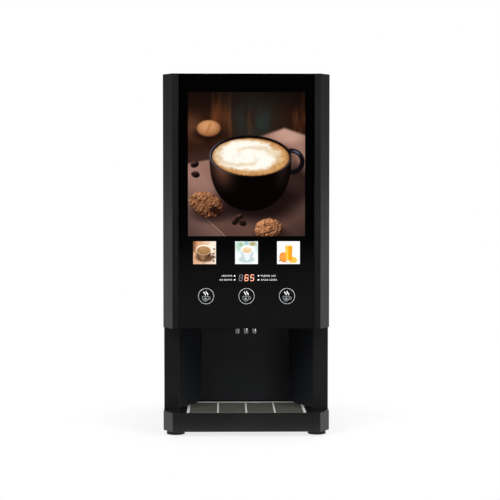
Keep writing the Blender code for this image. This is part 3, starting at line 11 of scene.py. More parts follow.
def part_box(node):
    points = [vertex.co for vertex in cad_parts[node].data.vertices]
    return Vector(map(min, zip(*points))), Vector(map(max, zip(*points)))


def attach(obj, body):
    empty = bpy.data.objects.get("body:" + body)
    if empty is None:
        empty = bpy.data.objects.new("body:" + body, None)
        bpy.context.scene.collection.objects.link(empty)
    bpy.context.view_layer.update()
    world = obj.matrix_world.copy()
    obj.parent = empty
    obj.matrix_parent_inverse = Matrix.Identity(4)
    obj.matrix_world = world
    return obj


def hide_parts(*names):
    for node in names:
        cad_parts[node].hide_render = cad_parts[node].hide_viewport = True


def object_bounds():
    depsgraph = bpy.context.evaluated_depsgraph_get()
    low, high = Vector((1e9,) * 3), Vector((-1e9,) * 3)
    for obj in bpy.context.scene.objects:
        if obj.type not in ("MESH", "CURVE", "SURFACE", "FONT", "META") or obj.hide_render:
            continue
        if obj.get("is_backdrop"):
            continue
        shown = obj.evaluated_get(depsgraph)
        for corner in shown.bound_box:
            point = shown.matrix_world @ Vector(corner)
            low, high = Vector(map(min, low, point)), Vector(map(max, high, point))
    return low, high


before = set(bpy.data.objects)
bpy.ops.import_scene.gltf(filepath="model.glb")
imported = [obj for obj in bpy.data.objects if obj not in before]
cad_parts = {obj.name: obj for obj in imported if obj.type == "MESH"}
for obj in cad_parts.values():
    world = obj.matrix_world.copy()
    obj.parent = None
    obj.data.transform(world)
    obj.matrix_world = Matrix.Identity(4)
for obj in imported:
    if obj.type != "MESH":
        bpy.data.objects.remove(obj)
cad_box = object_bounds()

# ---- Camera ----
# A long lens about three metres in front of the machine, a few centimetres left of its middle and
# at the height of the poster, looking slightly down.
def placed(name, data, spot=(0, 0, 0), aim=None):
    """A new object in the scene, turned to look at a point if one is given."""
    obj = bpy.data.objects.new(name, data)
    scene.collection.objects.link(obj)
    obj.location = spot
    if aim:
        obj.rotation_euler = (Vector(aim) - Vector(spot)).to_track_quat("-Z", "Y").to_euler()
    return obj


scene = bpy.context.scene
scene.view_settings.view_transform = "Standard"
front_y = cad_box[0].y
STAND, AIM = (-0.0421, -3.1133, 0.4695), (0.0062, front_y, 0.3356)
lens = bpy.data.cameras.new("camera")
lens.lens = 117.5
scene.camera = placed("camera", lens, STAND, AIM)


# ---- Light and floor ----
# A white sweep behind and under the machine, with the unlit room in front of it: gloss facing the
# camera stays black, and the lower edges pick up the bright floor. Large soft lamps stand around,
# and two small low ones draw bright lines on the nozzles.
def linear(values):
    """sRGB values from 0 to 1 as linear ones."""
    values = np.asarray(values, float)
    return np.where(values <= 0.04045, values / 12.92, ((values + 0.055) / 1.055) ** 2.4)


def tint(code):
    """The three sRGB values of a hex colour."""
    return np.array([int(code[place : place + 2], 16) / 255 for place in (1, 3, 5)])


def hue(code):
    """A hex colour as a linear colour for a socket."""
    return (*(float(value) for value in linear(tint(code))), 1.0)


def add(tree, kind, inputs=None, **settings):
    """Adds a node; shader nodes go by their short names. An input is a value, an output or a node."""
    node = tree.nodes.new(kind if "Node" in kind else f"ShaderNode{kind}")
    for name, value in settings.items():
        setattr(node, name, value)
    for name, value in (inputs or {}).items():
        value = value.outputs[0] if isinstance(value, bpy.types.Node) else value
        if isinstance(value, bpy.types.NodeSocket):
            tree.links.new(value, node.inputs[name])
        else:
            node.inputs[name].default_value = value
    return node


def maths(tree, operation, *values, **settings):
    """The result of one operation on plain values or outputs."""
    return add(tree, "Math", dict(enumerate(values)), operation=operation, **settings)


def ranged(tree, value, start, end, low=0.0, high=1.0, **settings):
    """A value's run from start to end, as a run from low to high."""
    return add(tree, "MapRange", {0: value, 1: start, 2: end, 3: low, 4: high}, **settings)


def mixed(tree, share, first, second):
    """Two numbers mixed by a share."""
    return add(tree, "Mix", {0: share, 2: first, 3: second})


def toned(tree, share, first, second):
    """Two hex colours mixed by a share."""
    return add(tree, "Mix", {0: share, 6: hue(first), 7: hue(second)}, data_type="RGBA").outputs[2]


AMBIENT = 0.42
ROOM = 0.006  # what gloss sees in front of the machine
world = bpy.data.worlds.new("studio")
scene.world = world
world.use_nodes = True
tree = world.node_tree
tree.nodes.clear()
ray = add(tree, "LightPath").outputs
direction = add(tree, "TexCoord").outputs["Generated"]
depth = add(tree, "SeparateXYZ", {0: direction}).outputs["Y"]
sides = ranged(tree, depth, -0.3, 0.55, ROOM, 0.045)
sweep = ranged(tree, depth, 0.62, 0.90, 0.0, 0.80)
level = mixed(tree, ray["Is Glossy Ray"], AMBIENT, maths(tree, "ADD", sides, sweep))
direct = maths(tree, "MAXIMUM", ray["Is Camera Ray"], ray["Is Transmission Ray"])
level = mixed(tree, direct, level, 1.0)
sky = add(tree, "Background", {"Color": hue("#ffffff"), "Strength": level})
add(tree, "OutputWorld", {"Surface": sky})

machine_middle = (cad_box[0] + cad_box[1]) / 2
for name, spot, size, power in (
    ("lamp_front_left", (-1.7, -1.9, 1.9), 1.6, 44),
    ("lamp_front_right", (1.9, -1.7, 1.6), 1.4, 30),
    ("lamp_above", (0.2, 0.3, 2.9), 1.6, 26),
    ("lamp_side_left", (-2.1, 1.3, 0.0), 0.7, 2.0),
    ("lamp_side_right", (2.1, 1.3, 0.0), 0.7, 1.8),
    ("lamp_rear", (0.3, 2.6, 1.9), 1.6, 30),
    ("lamp_low_right", (1.3, -1.9, 0.25), 0.45, 5.0),
    ("lamp_low_left", (-1.5, -1.6, 0.25), 0.30, 0.5),
):
    lamp = bpy.data.lights.new(name, "AREA")
    lamp.shape, lamp.size, lamp.energy = "SQUARE", size, power
    placed(name, lamp, spot, machine_middle).visible_camera = False

FLOOR_REACH = 12.0
floor_mesh = bpy.data.meshes.new("floor")
angles = np.linspace(0, 2 * math.pi, 65)[:-1]
ring = [(FLOOR_REACH * math.cos(a), FLOOR_REACH * math.sin(a), 0) for a in angles]
floor_mesh.from_pydata(ring, [], [tuple(range(len(ring)))])
placed("floor", floor_mesh)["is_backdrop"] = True


def bare(name):
    """A new material and its empty node tree."""
    material = bpy.data.materials.new(name)
    material.use_nodes = True
    material.node_tree.nodes.clear()
    return material, material.node_tree


def surface(tree, shader):
    """Makes a shader the surface of its material."""
    add(tree, "OutputMaterial", {"Surface": shader})


# White painted board: it takes the machine's shadow near it and runs out into plain white.
board, tree = bare("white_painted_board")
ray = add(tree, "LightPath").outputs
place = add(tree, "TexCoord").outputs["Object"]
away = add(tree, "VectorMath", {0: place}, operation="LENGTH").outputs["Value"]
parts = add(tree, "SeparateXYZ", {0: place}).outputs
forward, across = parts["Y"], maths(tree, "ABSOLUTE", parts["X"])
fade = ranged(tree, away, 0.24, 0.40, 0.78, 1.0, interpolation_type="SMOOTHSTEP")
# what gloss sees: bright beside and behind, dark just in front, and a little light further out
near = ranged(tree, forward, -0.36, -0.19, 0.03, 1.0, interpolation_type="SMOOTHSTEP")
rising = ranged(tree, forward, -1.0, -2.4, 0.0, 0.16)
falling = ranged(tree, forward, -3.0, -9.0, 0.0, 0.18)
near = maths(tree, "ADD", near, maths(tree, "SUBTRACT", rising, falling, use_clamp=True))
aside = maths(tree, "MULTIPLY_ADD", forward, 1.3, across)
aside = ranged(tree, aside, 0.35, 0.75, interpolation_type="SMOOTHSTEP")
near = maths(tree, "MAXIMUM", near, aside)
near = maths(tree, "MULTIPLY", near, ranged(tree, across, 0.45, 1.9, 1.0, 0.2))
strength = mixed(tree, ray["Is Glossy Ray"], 1.0, near)
grain = add(tree, "TexNoise", {"Vector": place, "Scale": 40.0, "Detail": 2.0})
matt = add(tree, "BsdfDiffuse", {"Color": toned(tree, grain, "#f8f8f8", "#ffffff")})
glow = add(tree, "Emission", {"Color": hue("#ffffff"), "Strength": strength})
gloss_or_far = maths(tree, "MAXIMUM", fade, ray["Is Glossy Ray"])
surface(tree, add(tree, "MixShader", {0: gloss_or_far, 1: matt, 2: glow}))
floor_mesh.materials.append(board)


# ---- Base and feet ----
# The base is one satin black moulding with a bay for the drip tray, its long edges rounded by the
# mould. It stands on four turned rubber feet that are pushed into it by their studs.
def finish(name, colours, roughness, grain, relief, drift=60, stretch=(1, 1, 1), **sockets):
    """A finish with a slow drift of colour and gloss and a fine relief. Sizes are in millimetres."""
    material, tree = bare(name)
    place = add(tree, "TexCoord").outputs["Object"]
    place = add(tree, "Mapping", {"Vector": place, "Scale": stretch})
    slow = add(tree, "TexNoise", {"Vector": place, "Scale": 1000 / drift, "Detail": 3.0})
    fine = add(tree, "TexNoise", {"Vector": place, "Scale": 1000 / grain, "Detail": 2.0})
    shares = mixed(tree, 0.35, slow, fine)
    raised = {"Height": fine, "Distance": relief / 1000, "Strength": 1.0}
    inputs = {
        "Base Color": toned(tree, shares, *colours),
        "Roughness": ranged(tree, shares, 0.3, 0.7, *roughness),
        "Normal": add(tree, "Bump", raised),
    }
    inputs.update({key.replace("_", " "): value for key, value in sockets.items()})
    surface(tree, add(tree, "BsdfPrincipled", inputs))
    return material


def worked(obj):
    """The mesh of an object once its modifiers have acted."""
    bpy.context.view_layer.update()
    return bpy.data.meshes.new_from_object(obj.evaluated_get(bpy.context.evaluated_depsgraph_get()))


def editable(mesh):
    """A mesh as a shape that can be edited."""
    bm = bmesh.new()
    bm.from_mesh(mesh)
    return bm


def piece(name, bm, material, body, slot, *nodes, smooth=35):
    """Makes the finished object of a shape, hangs it on the body it rides on, and hides the nodes it stands for."""
    mesh = bpy.data.meshes.new(name)
    bm.to_mesh(mesh)
    bm.free()
    mesh.materials.append(material)
    mesh.polygons.foreach_set("use_smooth", [True] * len(mesh.polygons))
    mesh.set_sharp_from_angle(angle=math.radians(smooth))
    obj = placed(name, mesh)
    # flat faces stay flat beside their rounded edges
    leaning = obj.modifiers.new("flat faces", "WEIGHTED_NORMAL")
    leaning.keep_sharp = True
    obj.data = worked(obj)
    obj.modifiers.remove(leaning)
    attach(obj, body)
    if nodes:
        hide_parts(*nodes)


def bevelled(bm, width, segments=2, angle=30, shortest=0.0):
    """Rounds the sharp edges of a shape."""
    sharp = [e for e in bm.edges if e.is_manifold and e.calc_face_angle() > math.radians(angle)]
    sharp = [edge for edge in sharp if edge.calc_length() > shortest]
    bmesh.ops.bevel(
        bm, geom=sharp, offset=width, segments=segments, profile=0.6, affect="EDGES", clamp_overlap=True
    )
    return bm


def skinned(bm, rounds, closed=False):
    """Joins rings of points by faces, each to the next; a ring may be a single point."""
    steps = max(len(spots) for spots in rounds)
    for first, second in zip(rounds if closed else rounds[:-1], rounds[1:] + rounds[:1]):
        for turn in range(steps):
            places = ((first, turn), (first, turn + 1), (second, turn + 1), (second, turn))
            corners = list(dict.fromkeys(spots[place % len(spots)] for spots, place in places))
            if len(corners) > 2:
                bm.faces.new(corners)


def turned(profile, centre, axis="Z", steps=48, closed=False):
    """A profile of (radius, distance along the axis) turned about Z or Y through the centre."""
    bm = bmesh.new()
    rounds = []
    for radius, along in profile:
        spots = []
        for turn in range(steps if radius > 1e-7 else 1):
            angle = 2 * math.pi * turn / steps
            p, q = radius * math.cos(angle), radius * math.sin(angle)
            spots.append(bm.verts.new(Vector((p, q, along) if axis == "Z" else (q, along, p)) + Vector(centre)))
        rounds.append(spots)
    skinned(bm, rounds, closed)
    bmesh.ops.recalc_face_normals(bm, faces=bm.faces)
    return bm


def steps_from(radius, base, *steps):
    """Points of a profile, in millimetres inward from a radius and beyond a base."""
    return [(radius - inward / 1000, base + along / 1000) for inward, along in steps]


def own(name, node, width, material, body, slot):
    """The piece that is a node's own solid, merged and with its sharp edges rounded."""
    bm = editable(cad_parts[node].data)
    bmesh.ops.remove_doubles(bm, verts=bm.verts, dist=1e-6)
    bmesh.ops.dissolve_limit(bm, angle_limit=math.radians(1), verts=bm.verts, edges=bm.edges)
    piece(name, bevelled(bm, width, angle=28, shortest=4 * width), material, body, slot, node)


def upright(node):
    """A round node's lowest and highest corner, the foot of its axis, and its radius."""
    low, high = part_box(node)
    return low, high, ((low.x + high.x) / 2, (low.y + high.y) / 2, 0), (high.x - low.x) / 2


# Satin black ABS from a finely sparked mould: almost black, with a soft sheen at its edges.
satin_abs = finish("satin_black_abs", ("#0b0c0d", "#0f1011"), (0.34, 0.42), 0.8, 0.012)
own("base_moulding", "base_frame", 0.0007, satin_abs, "cabinet", "black_moulding")

# Black rubber, dusty and matt, with the flow lines of its mould.
rubber = finish("moulded_rubber", ("#0d0d0d", "#171716"), (0.62, 0.8), 0.6, 0.03)
STUD_RADIUS = 0.0030
SOLE = ((5.5, 1.2), (4.5, 0), (1.2, 0), (0.3, 0.4), (0, 1.4), (0.3, 2.6))  # hollow in its middle
GROOVE_AND_TOP = ((0.9, 3.0), (0.9, 3.6), (0.3, 4.0), (0.4, 6.4), (1.4, 7.7))
for name in ("front_left", "front_right", "rear_left", "rear_right"):
    low, high, spot, radius = upright(f"foot_{name}")
    profile = [(0, 0.0012)] + steps_from(radius, 0, *SOLE, *GROOVE_AND_TOP)
    profile += [(STUD_RADIUS, 0.0077)] + steps_from(STUD_RADIUS, high.z, (0, -0.6), (0.6, 0)) + [(0, high.z)]
    piece(f"rubber_foot_{name}", turned(profile, spot), rubber, "cabinet", "rubber_foot", f"foot_{name}")


# ---- Drip tray and grate ----
# The tray is a black moulding whose front closes the base. On it lies a plated grate: a welded
# frame with bright end bars and three dividers, and fine steel slats that run from side to side.
own("drip_tray_moulding", "drip_tray", 0.0005, satin_abs, "drip_tray", "black_moulding")


def lattice(across, along, low, high):
    """A flat plate between lines across X and along Y, cut through at each second cell of its middle row."""
    bm = bmesh.new()
    spots = {}

    def spot(i, j, top):
        if (i, j, top) not in spots:
            spots[i, j, top] = bm.verts.new((across[i], along[j], high if top else low))
        return spots[i, j, top]

    def solid(i, j):
        return 0 <= i < len(across) - 1 and 0 <= j < len(along) - 1 and (i % 2 == 0 or j != 1)

    for i in range(len(across) - 1):
        for j in range(len(along) - 1):
            if not solid(i, j):
                continue
            ring = [(i, j), (i + 1, j), (i + 1, j + 1), (i, j + 1)]
            bm.faces.new([spot(*corner, True) for corner in ring])
            bm.faces.new([spot(*corner, False) for corner in reversed(ring)])
            beside = [(i, j - 1), (i + 1, j), (i, j + 1), (i - 1, j)]
            for side, neighbour in enumerate(beside):
                if not solid(*neighbour):
                    first, second = ring[side], ring[(side + 1) % 4]
                    corners = [spot(*first, False), spot(*second, False)]
                    bm.faces.new(corners + [spot(*second, True), spot(*first, True)])
    return bm


low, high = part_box("drip_grate")
END_BAR, DIVIDER, CROSS_BAR = 0.0045, 0.0030, 0.0020
middle_gap = (high.x - low.x - 2 * END_BAR) / 4
across = [low.x, low.x + END_BAR]
for number in (-1, 0, 1):
    across += [number * middle_gap - DIVIDER / 2, number * middle_gap + DIVIDER / 2]
across += [high.x - END_BAR, high.x]
along = [low.y, low.y + CROSS_BAR, high.y - CROSS_BAR, high.y]
grate = lattice(across, along, low.z, high.z)
# Plated steel given a near-white matt colour: a painted highlight that stands in for the glint of the plated bars, so
# they are pale from every side.
pale_plate_painted_glint = finish("plated_steel_painted_pale", ("#fafafa", "#fefefe"), (0.30, 0.42), 0.8, 0.006, Metallic=0.0)
bevelled(grate, 0.0011, segments=3)
piece("drip_grate_frame", grate, pale_plate_painted_glint, "drip_tray", "chrome", "drip_grate")


def grown(name, tree, inputs, material, body, slot, *nodes):
    """The plain mesh that a node tree makes from its named inputs."""
    host = placed(name, bpy.data.meshes.new(name))
    modifier = host.modifiers.new("shape", "NODES")
    modifier.node_group = tree
    for item in tree.interface.items_tree:
        if item.in_out == "INPUT":
            modifier[item.identifier] = {**inputs, "Finish": material}[item.name]
    bm = editable(worked(host))
    bpy.data.objects.remove(host, do_unlink=True)
    bmesh.ops.recalc_face_normals(bm, faces=bm.faces)
    piece(name, bm, material, body, slot, *nodes)


def node_shape(name, numbers):
    """A new node tree with named inputs, and its first and last nodes."""
    tree = bpy.data.node_groups.new(name, "GeometryNodeTree")
    for label, kind in numbers.items():
        tree.interface.new_socket(label, in_out="INPUT", socket_type=f"NodeSocket{kind}")
    tree.interface.new_socket("Finish", in_out="INPUT", socket_type="NodeSocketMaterial")
    tree.interface.new_socket("Geometry", in_out="OUTPUT", socket_type="NodeSocketGeometry")
    return tree, tree.nodes.new("NodeGroupInput").outputs, tree.nodes.new("NodeGroupOutput")


def row_of(tree, given, last, shape, turned_by=None):
    """Ends a node tree with copies of a shape set out in a row, as real geometry with its finish."""
    row = {"Count": given["Count"], "Start Location": given["First"], "Offset": given["Pitch"]}
    row = add(tree, "GeometryNodeMeshLine", row)
    copies = {"Points": row, "Instance": shape}
    if turned_by is not None:
        copies["Rotation"] = add(tree, "FunctionNodeEulerToRotation", {0: turned_by})
    copies = add(tree, "GeometryNodeInstanceOnPoints", copies)
    real = add(tree, "GeometryNodeRealizeInstances", {"Geometry": copies})
    dressed = {"Geometry": real, "Material": given["Finish"]}
    tree.links.new(add(tree, "GeometryNodeSetMaterial", dressed).outputs[0], last.inputs["Geometry"])


# The slats: flat bars on edge, spaced evenly between the front and back bars.
numbers = {"Count": "Int", "First": "Vector", "Pitch": "Vector", "Length": "Float", "Width": "Float"}
tree, given, last = node_shape("grate_slats", {**numbers, "Height": "Float"})
size = add(tree, "CombineXYZ", {0: given["Length"], 1: given["Width"], 2: given["Height"]})
row_of(tree, given, last, add(tree, "GeometryNodeMeshCube", {"Size": size}))

SLATS, SLAT_HEIGHT, SLAT_DROP = 44, 0.0030, 0.0008  # the slats' tops lie a little under the bars'
slat_pitch = (high.y - low.y - 2 * CROSS_BAR) / (SLATS + 1)
slat_sizes = {
    "Count": SLATS,
    "First": (0, low.y + CROSS_BAR + slat_pitch, high.z - SLAT_DROP - SLAT_HEIGHT / 2),
    "Pitch": (0, slat_pitch, 0),
    "Length": high.x - low.x - END_BAR,
    "Width": 0.0013,
    "Height": SLAT_HEIGHT,
}
# Dull nickelled steel strip, rolled along its length.
rolled = {"stretch": (0.1, 1, 1), "Metallic": 0.35}
nickel = finish("nickelled_strip", ("#605e58", "#76746d"), (0.36, 0.48), 1.5, 0.004, **rolled)
grown("drip_grate_slats", tree, slat_sizes, nickel, "drip_tray", "chrome", "drip_grate")


# ---- Cabinet shell ----
# Folded steel sheet, powder coated black: two side panels with flanges beside the cup station, a
# flat top cover with a rear lip, and a rear panel with air slots for the fan.
# Powder coat: fine orange peel about 2 mm across that breaks up its sheen.
powder_coat = finish("black_powder_coat", ("#0c0c0d", "#121213"), (0.36, 0.46), 1.8, 0.02)
for name in ("left", "right"):
    own(f"side_panel_{name}", f"{name}_side_panel", 0.0004, powder_coat, "cabinet", "black_paint")
own("top_cover_sheet", "top_cover", 0.0005, powder_coat, "cabinet", "black_paint")
own("rear_panel_sheet", "rear_panel", 0.0003, powder_coat, "cabinet", "black_paint")


# ---- Cup station ----
# A vacuum-formed liner with slanting sides, pressed in behind the pillars, with three chromed
# nozzles through its ceiling.
# Smooth black polystyrene liner with a satin skin and a cool cast.
liner_skin = finish("satin_polystyrene", ("#131519", "#191c20"), (0.46, 0.56), 2.5, 0.01)
# Satin chromium plating: bright metal with a soft gleam and faint ripples.
chrome = finish("chromium_plate", ("#dfe0e1", "#ececed"), (0.14, 0.24), 3.0, 0.004, Metallic=0.9)
own("cup_station_walls", "cup_station_liner", 0.0006, liner_skin, "cabinet", "dark_liner")
SIDES = ("left", "centre", "right")
NOZZLE_TRIM = 0.0040  # the tubes end this far above the solid ones' tips
NOZZLE_BORE = 0.0034
for name in SIDES:
    low, high, spot, outer = upright(f"nozzle_{name}")
    tip = low.z + NOZZLE_TRIM
    profile = steps_from(outer, tip, (0.9, 0), (0.3, 0.4), (0, 1.2), (0, 4.0), (0.4, 4.4), (0.4, 5.2), (0, 5.6))
    profile = [(NOZZLE_BORE, tip)] + profile + steps_from(outer, high.z, (0, -0.4), (0.4, 0)) + [(NOZZLE_BORE, high.z)]
    tube = turned(profile, spot, closed=True)
    piece(f"nozzle_tube_{name}", tube, chrome, "cabinet", "chrome", f"nozzle_{name}")


# ---- Door frame and panel ----
# The door is a deep black moulding with wide chamfered sides. Its front is one sheet of polished
# black acrylic, bonded on its ledge, with three round holes for the buttons.
own("door_moulding", "door_frame", 0.0006, satin_abs, "door", "black_moulding")

# Cast acrylic, printed black behind: deep black and mirror smooth.
acrylic = finish("polished_acrylic", ("#010101", "#020202"), (0.03, 0.06), 30, 0.0, drift=200)
panel_low, panel_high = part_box("door_panel")
PANEL_FRONT = panel_low.y + 0.0006
button_boxes = [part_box(f"drink_button_{name}") for name in SIDES]
button_spots = [((low.x + high.x) / 2, (low.z + high.z) / 2) for low, high in button_boxes]
BUTTON_RADIUS = 0.0130
HOLE_RADIUS = BUTTON_RADIUS + 0.0003
RING_RADIUS = 0.0143


def plate(outlines, thickness, edge=0.0):
    """A flat plate in the XZ plane cut to closed (x, z) outlines, inner ones as holes, facing -Y."""
    curve = bpy.data.curves.new("plate", "CURVE")
    curve.dimensions, curve.fill_mode = "2D", "BOTH"
    curve.extrude = thickness / 2 - edge
    curve.bevel_depth, curve.bevel_resolution, curve.offset = edge, 1, -edge
    for outline in outlines:
        spline = curve.splines.new("POLY")
        spline.points.add(len(outline) - 1)
        for point, (x, z) in zip(spline.points, outline):
            point.co = (x, z, 0, 1)
        spline.use_cyclic_u = True
    bm = merged(placed("plate", curve))
    bm.transform(Matrix.Rotation(math.pi / 2, 4, "X"))
    return bm


def merged(holder):
    """The closed mesh of a curve or text object, which is removed."""
    bm = editable(worked(holder))
    bpy.data.objects.remove(holder, do_unlink=True)
    bmesh.ops.remove_doubles(bm, verts=bm.verts, dist=1e-6)
    bmesh.ops.recalc_face_normals(bm, faces=bm.faces)
    return bm


def round_line(centre, radius, steps, start=0, end=360):
    """Points of a circle, or of part of one, angles in degrees."""
    last = steps if end - start >= 360 else steps + 1
    angles = [math.radians(start + (end - start) * number / steps) for number in range(last)]
    return [(centre[0] + radius * math.cos(a), centre[1] + radius * math.sin(a)) for a in angles]


def gathered(shapes):
    """One shape of several."""
    whole = bmesh.new()
    for bm in shapes:
        part = bpy.data.meshes.new("part")
        bm.to_mesh(part)
        bm.free()
        whole.from_mesh(part)
        bpy.data.meshes.remove(part)
    return whole


PANEL_THICKNESS = panel_high.y - PANEL_FRONT
outline = [(panel_low.x, panel_low.z), (panel_high.x, panel_low.z)]
outline += [(panel_high.x, panel_high.z), (panel_low.x, panel_high.z)]
holes = [round_line(spot, HOLE_RADIUS, 96) for spot in button_spots]
panel = plate([outline] + holes, PANEL_THICKNESS, 0.0003)
panel.transform(Matrix.Translation((0, PANEL_FRONT + PANEL_THICKNESS / 2, 0)))
piece("front_panel", panel, acrylic, "door", "black_acrylic", "door_panel")


# ---- Lit poster and drink pictures ----
# Films printed for lighting from behind, one large over three small ones. They show a cup of milk
# coffee on a brown cloth, and each of the three drinks, as pictures of no special make.
def step(value, low, high):
    """A smooth rise from 0 to 1 as the value goes from low to high."""
    part = np.clip((value - low) / (high - low), 0, 1)
    return part * part * (3 - 2 * part)


def hump(offset, width=1):
    """A soft hump that is 1 where the offset is nothing."""
    return np.exp(-((offset / width) ** 2))


def cloud(x, y, size, seed, layers=3):
    """A smooth random field from -1 to 1 whose largest blots are size across."""
    field, weight, total = 0, 1, 0
    for layer in range(layers):
        table = np.random.default_rng(seed + layer).random((64, 64))
        u, v = x / size * 2**layer + 11.3, y / size * 2**layer + 7.7
        i, j = np.floor(u).astype(int), np.floor(v).astype(int)
        a, b = step(u - i, 0, 1), step(v - j, 0, 1)
        value = (table[i % 64, j % 64] * (1 - a) + table[(i + 1) % 64, j % 64] * a) * (1 - b)
        value += (table[i % 64, (j + 1) % 64] * (1 - a) + table[(i + 1) % 64, (j + 1) % 64] * a) * b
        field, total, weight = field + weight * value, total + weight, weight / 2
    return 2 * field / total - 1


def lay(paint, colour, cover):
    """A hex colour, or a colour at each point, laid over the paint by the share that it covers."""
    colour = tint(colour) if isinstance(colour, str) else colour
    return paint + (np.asarray(colour) - paint) * np.asarray(cover)[..., None]


def wash(x, code):
    """A plain sheet of one colour."""
    return lay(np.zeros(x.shape + (3,)), tint(code), np.ones(x.shape))


def between(first, second, share):
    """Two hex colours mixed by a share at each point."""
    return tint(first) + (tint(second) - tint(first)) * np.clip(share, 0, 1)[..., None]


def oval(x, y, centre, radii, turn=0):
    """Distance from the middle of a turned ellipse, as a share of its radius, with the two shares."""
    c, s = math.cos(math.radians(turn)), math.sin(math.radians(turn))
    dx, dy = x - centre[0], y - centre[1]
    p, q = (c * dx + s * dy) / radii[0], (c * dy - s * dx) / radii[1]
    return np.hypot(p, q), p, q


def spot_of(paint, x, y, centre, radii, colour, cover, reach, soft, turn=0):
    """A colour laid over an ellipse of the paint, soft for a share of its radius inside its reach."""
    away, _, _ = oval(x, y, centre, radii, turn)
    return lay(paint, colour, cover * step(reach - away, 0, soft))


def lit(height, cell):
    """Shade from 0 to 1 of a height field, lit from above left."""
    dx, dy = np.gradient(height, cell)
    return np.clip((0.6 + 0.45 * dx - 0.65 * dy) / np.sqrt(1 + dx * dx + dy * dy), 0, 1)


def bump_of(away):
    """Height of a round body from its middle to its edge."""
    return np.sqrt(np.clip(1 - away**2, 0, 1))


def disc(paint, away, soft, first, second, share):
    """An ellipse laid over the paint, in two colours mixed by a share, with a soft edge."""
    return lay(paint, between(first, second, share), step(1 - away, 0, soft))


def cup_side(x, y, rim, half_width, depth, power, low, high):
    """A cup under its rim: each point's share across, its fall, and how far it counts as inside."""
    dx, fall = x - rim[0], rim[1] - y
    half = np.maximum(half_width * np.sqrt(np.clip(1 - np.clip(fall / depth, 0, 1) ** power, 0, 1)), 1e-6)
    inside = step((1 - np.abs(dx) / half) * half, low, high) * (fall > 0) * (fall < depth)
    return dx / half, fall, inside


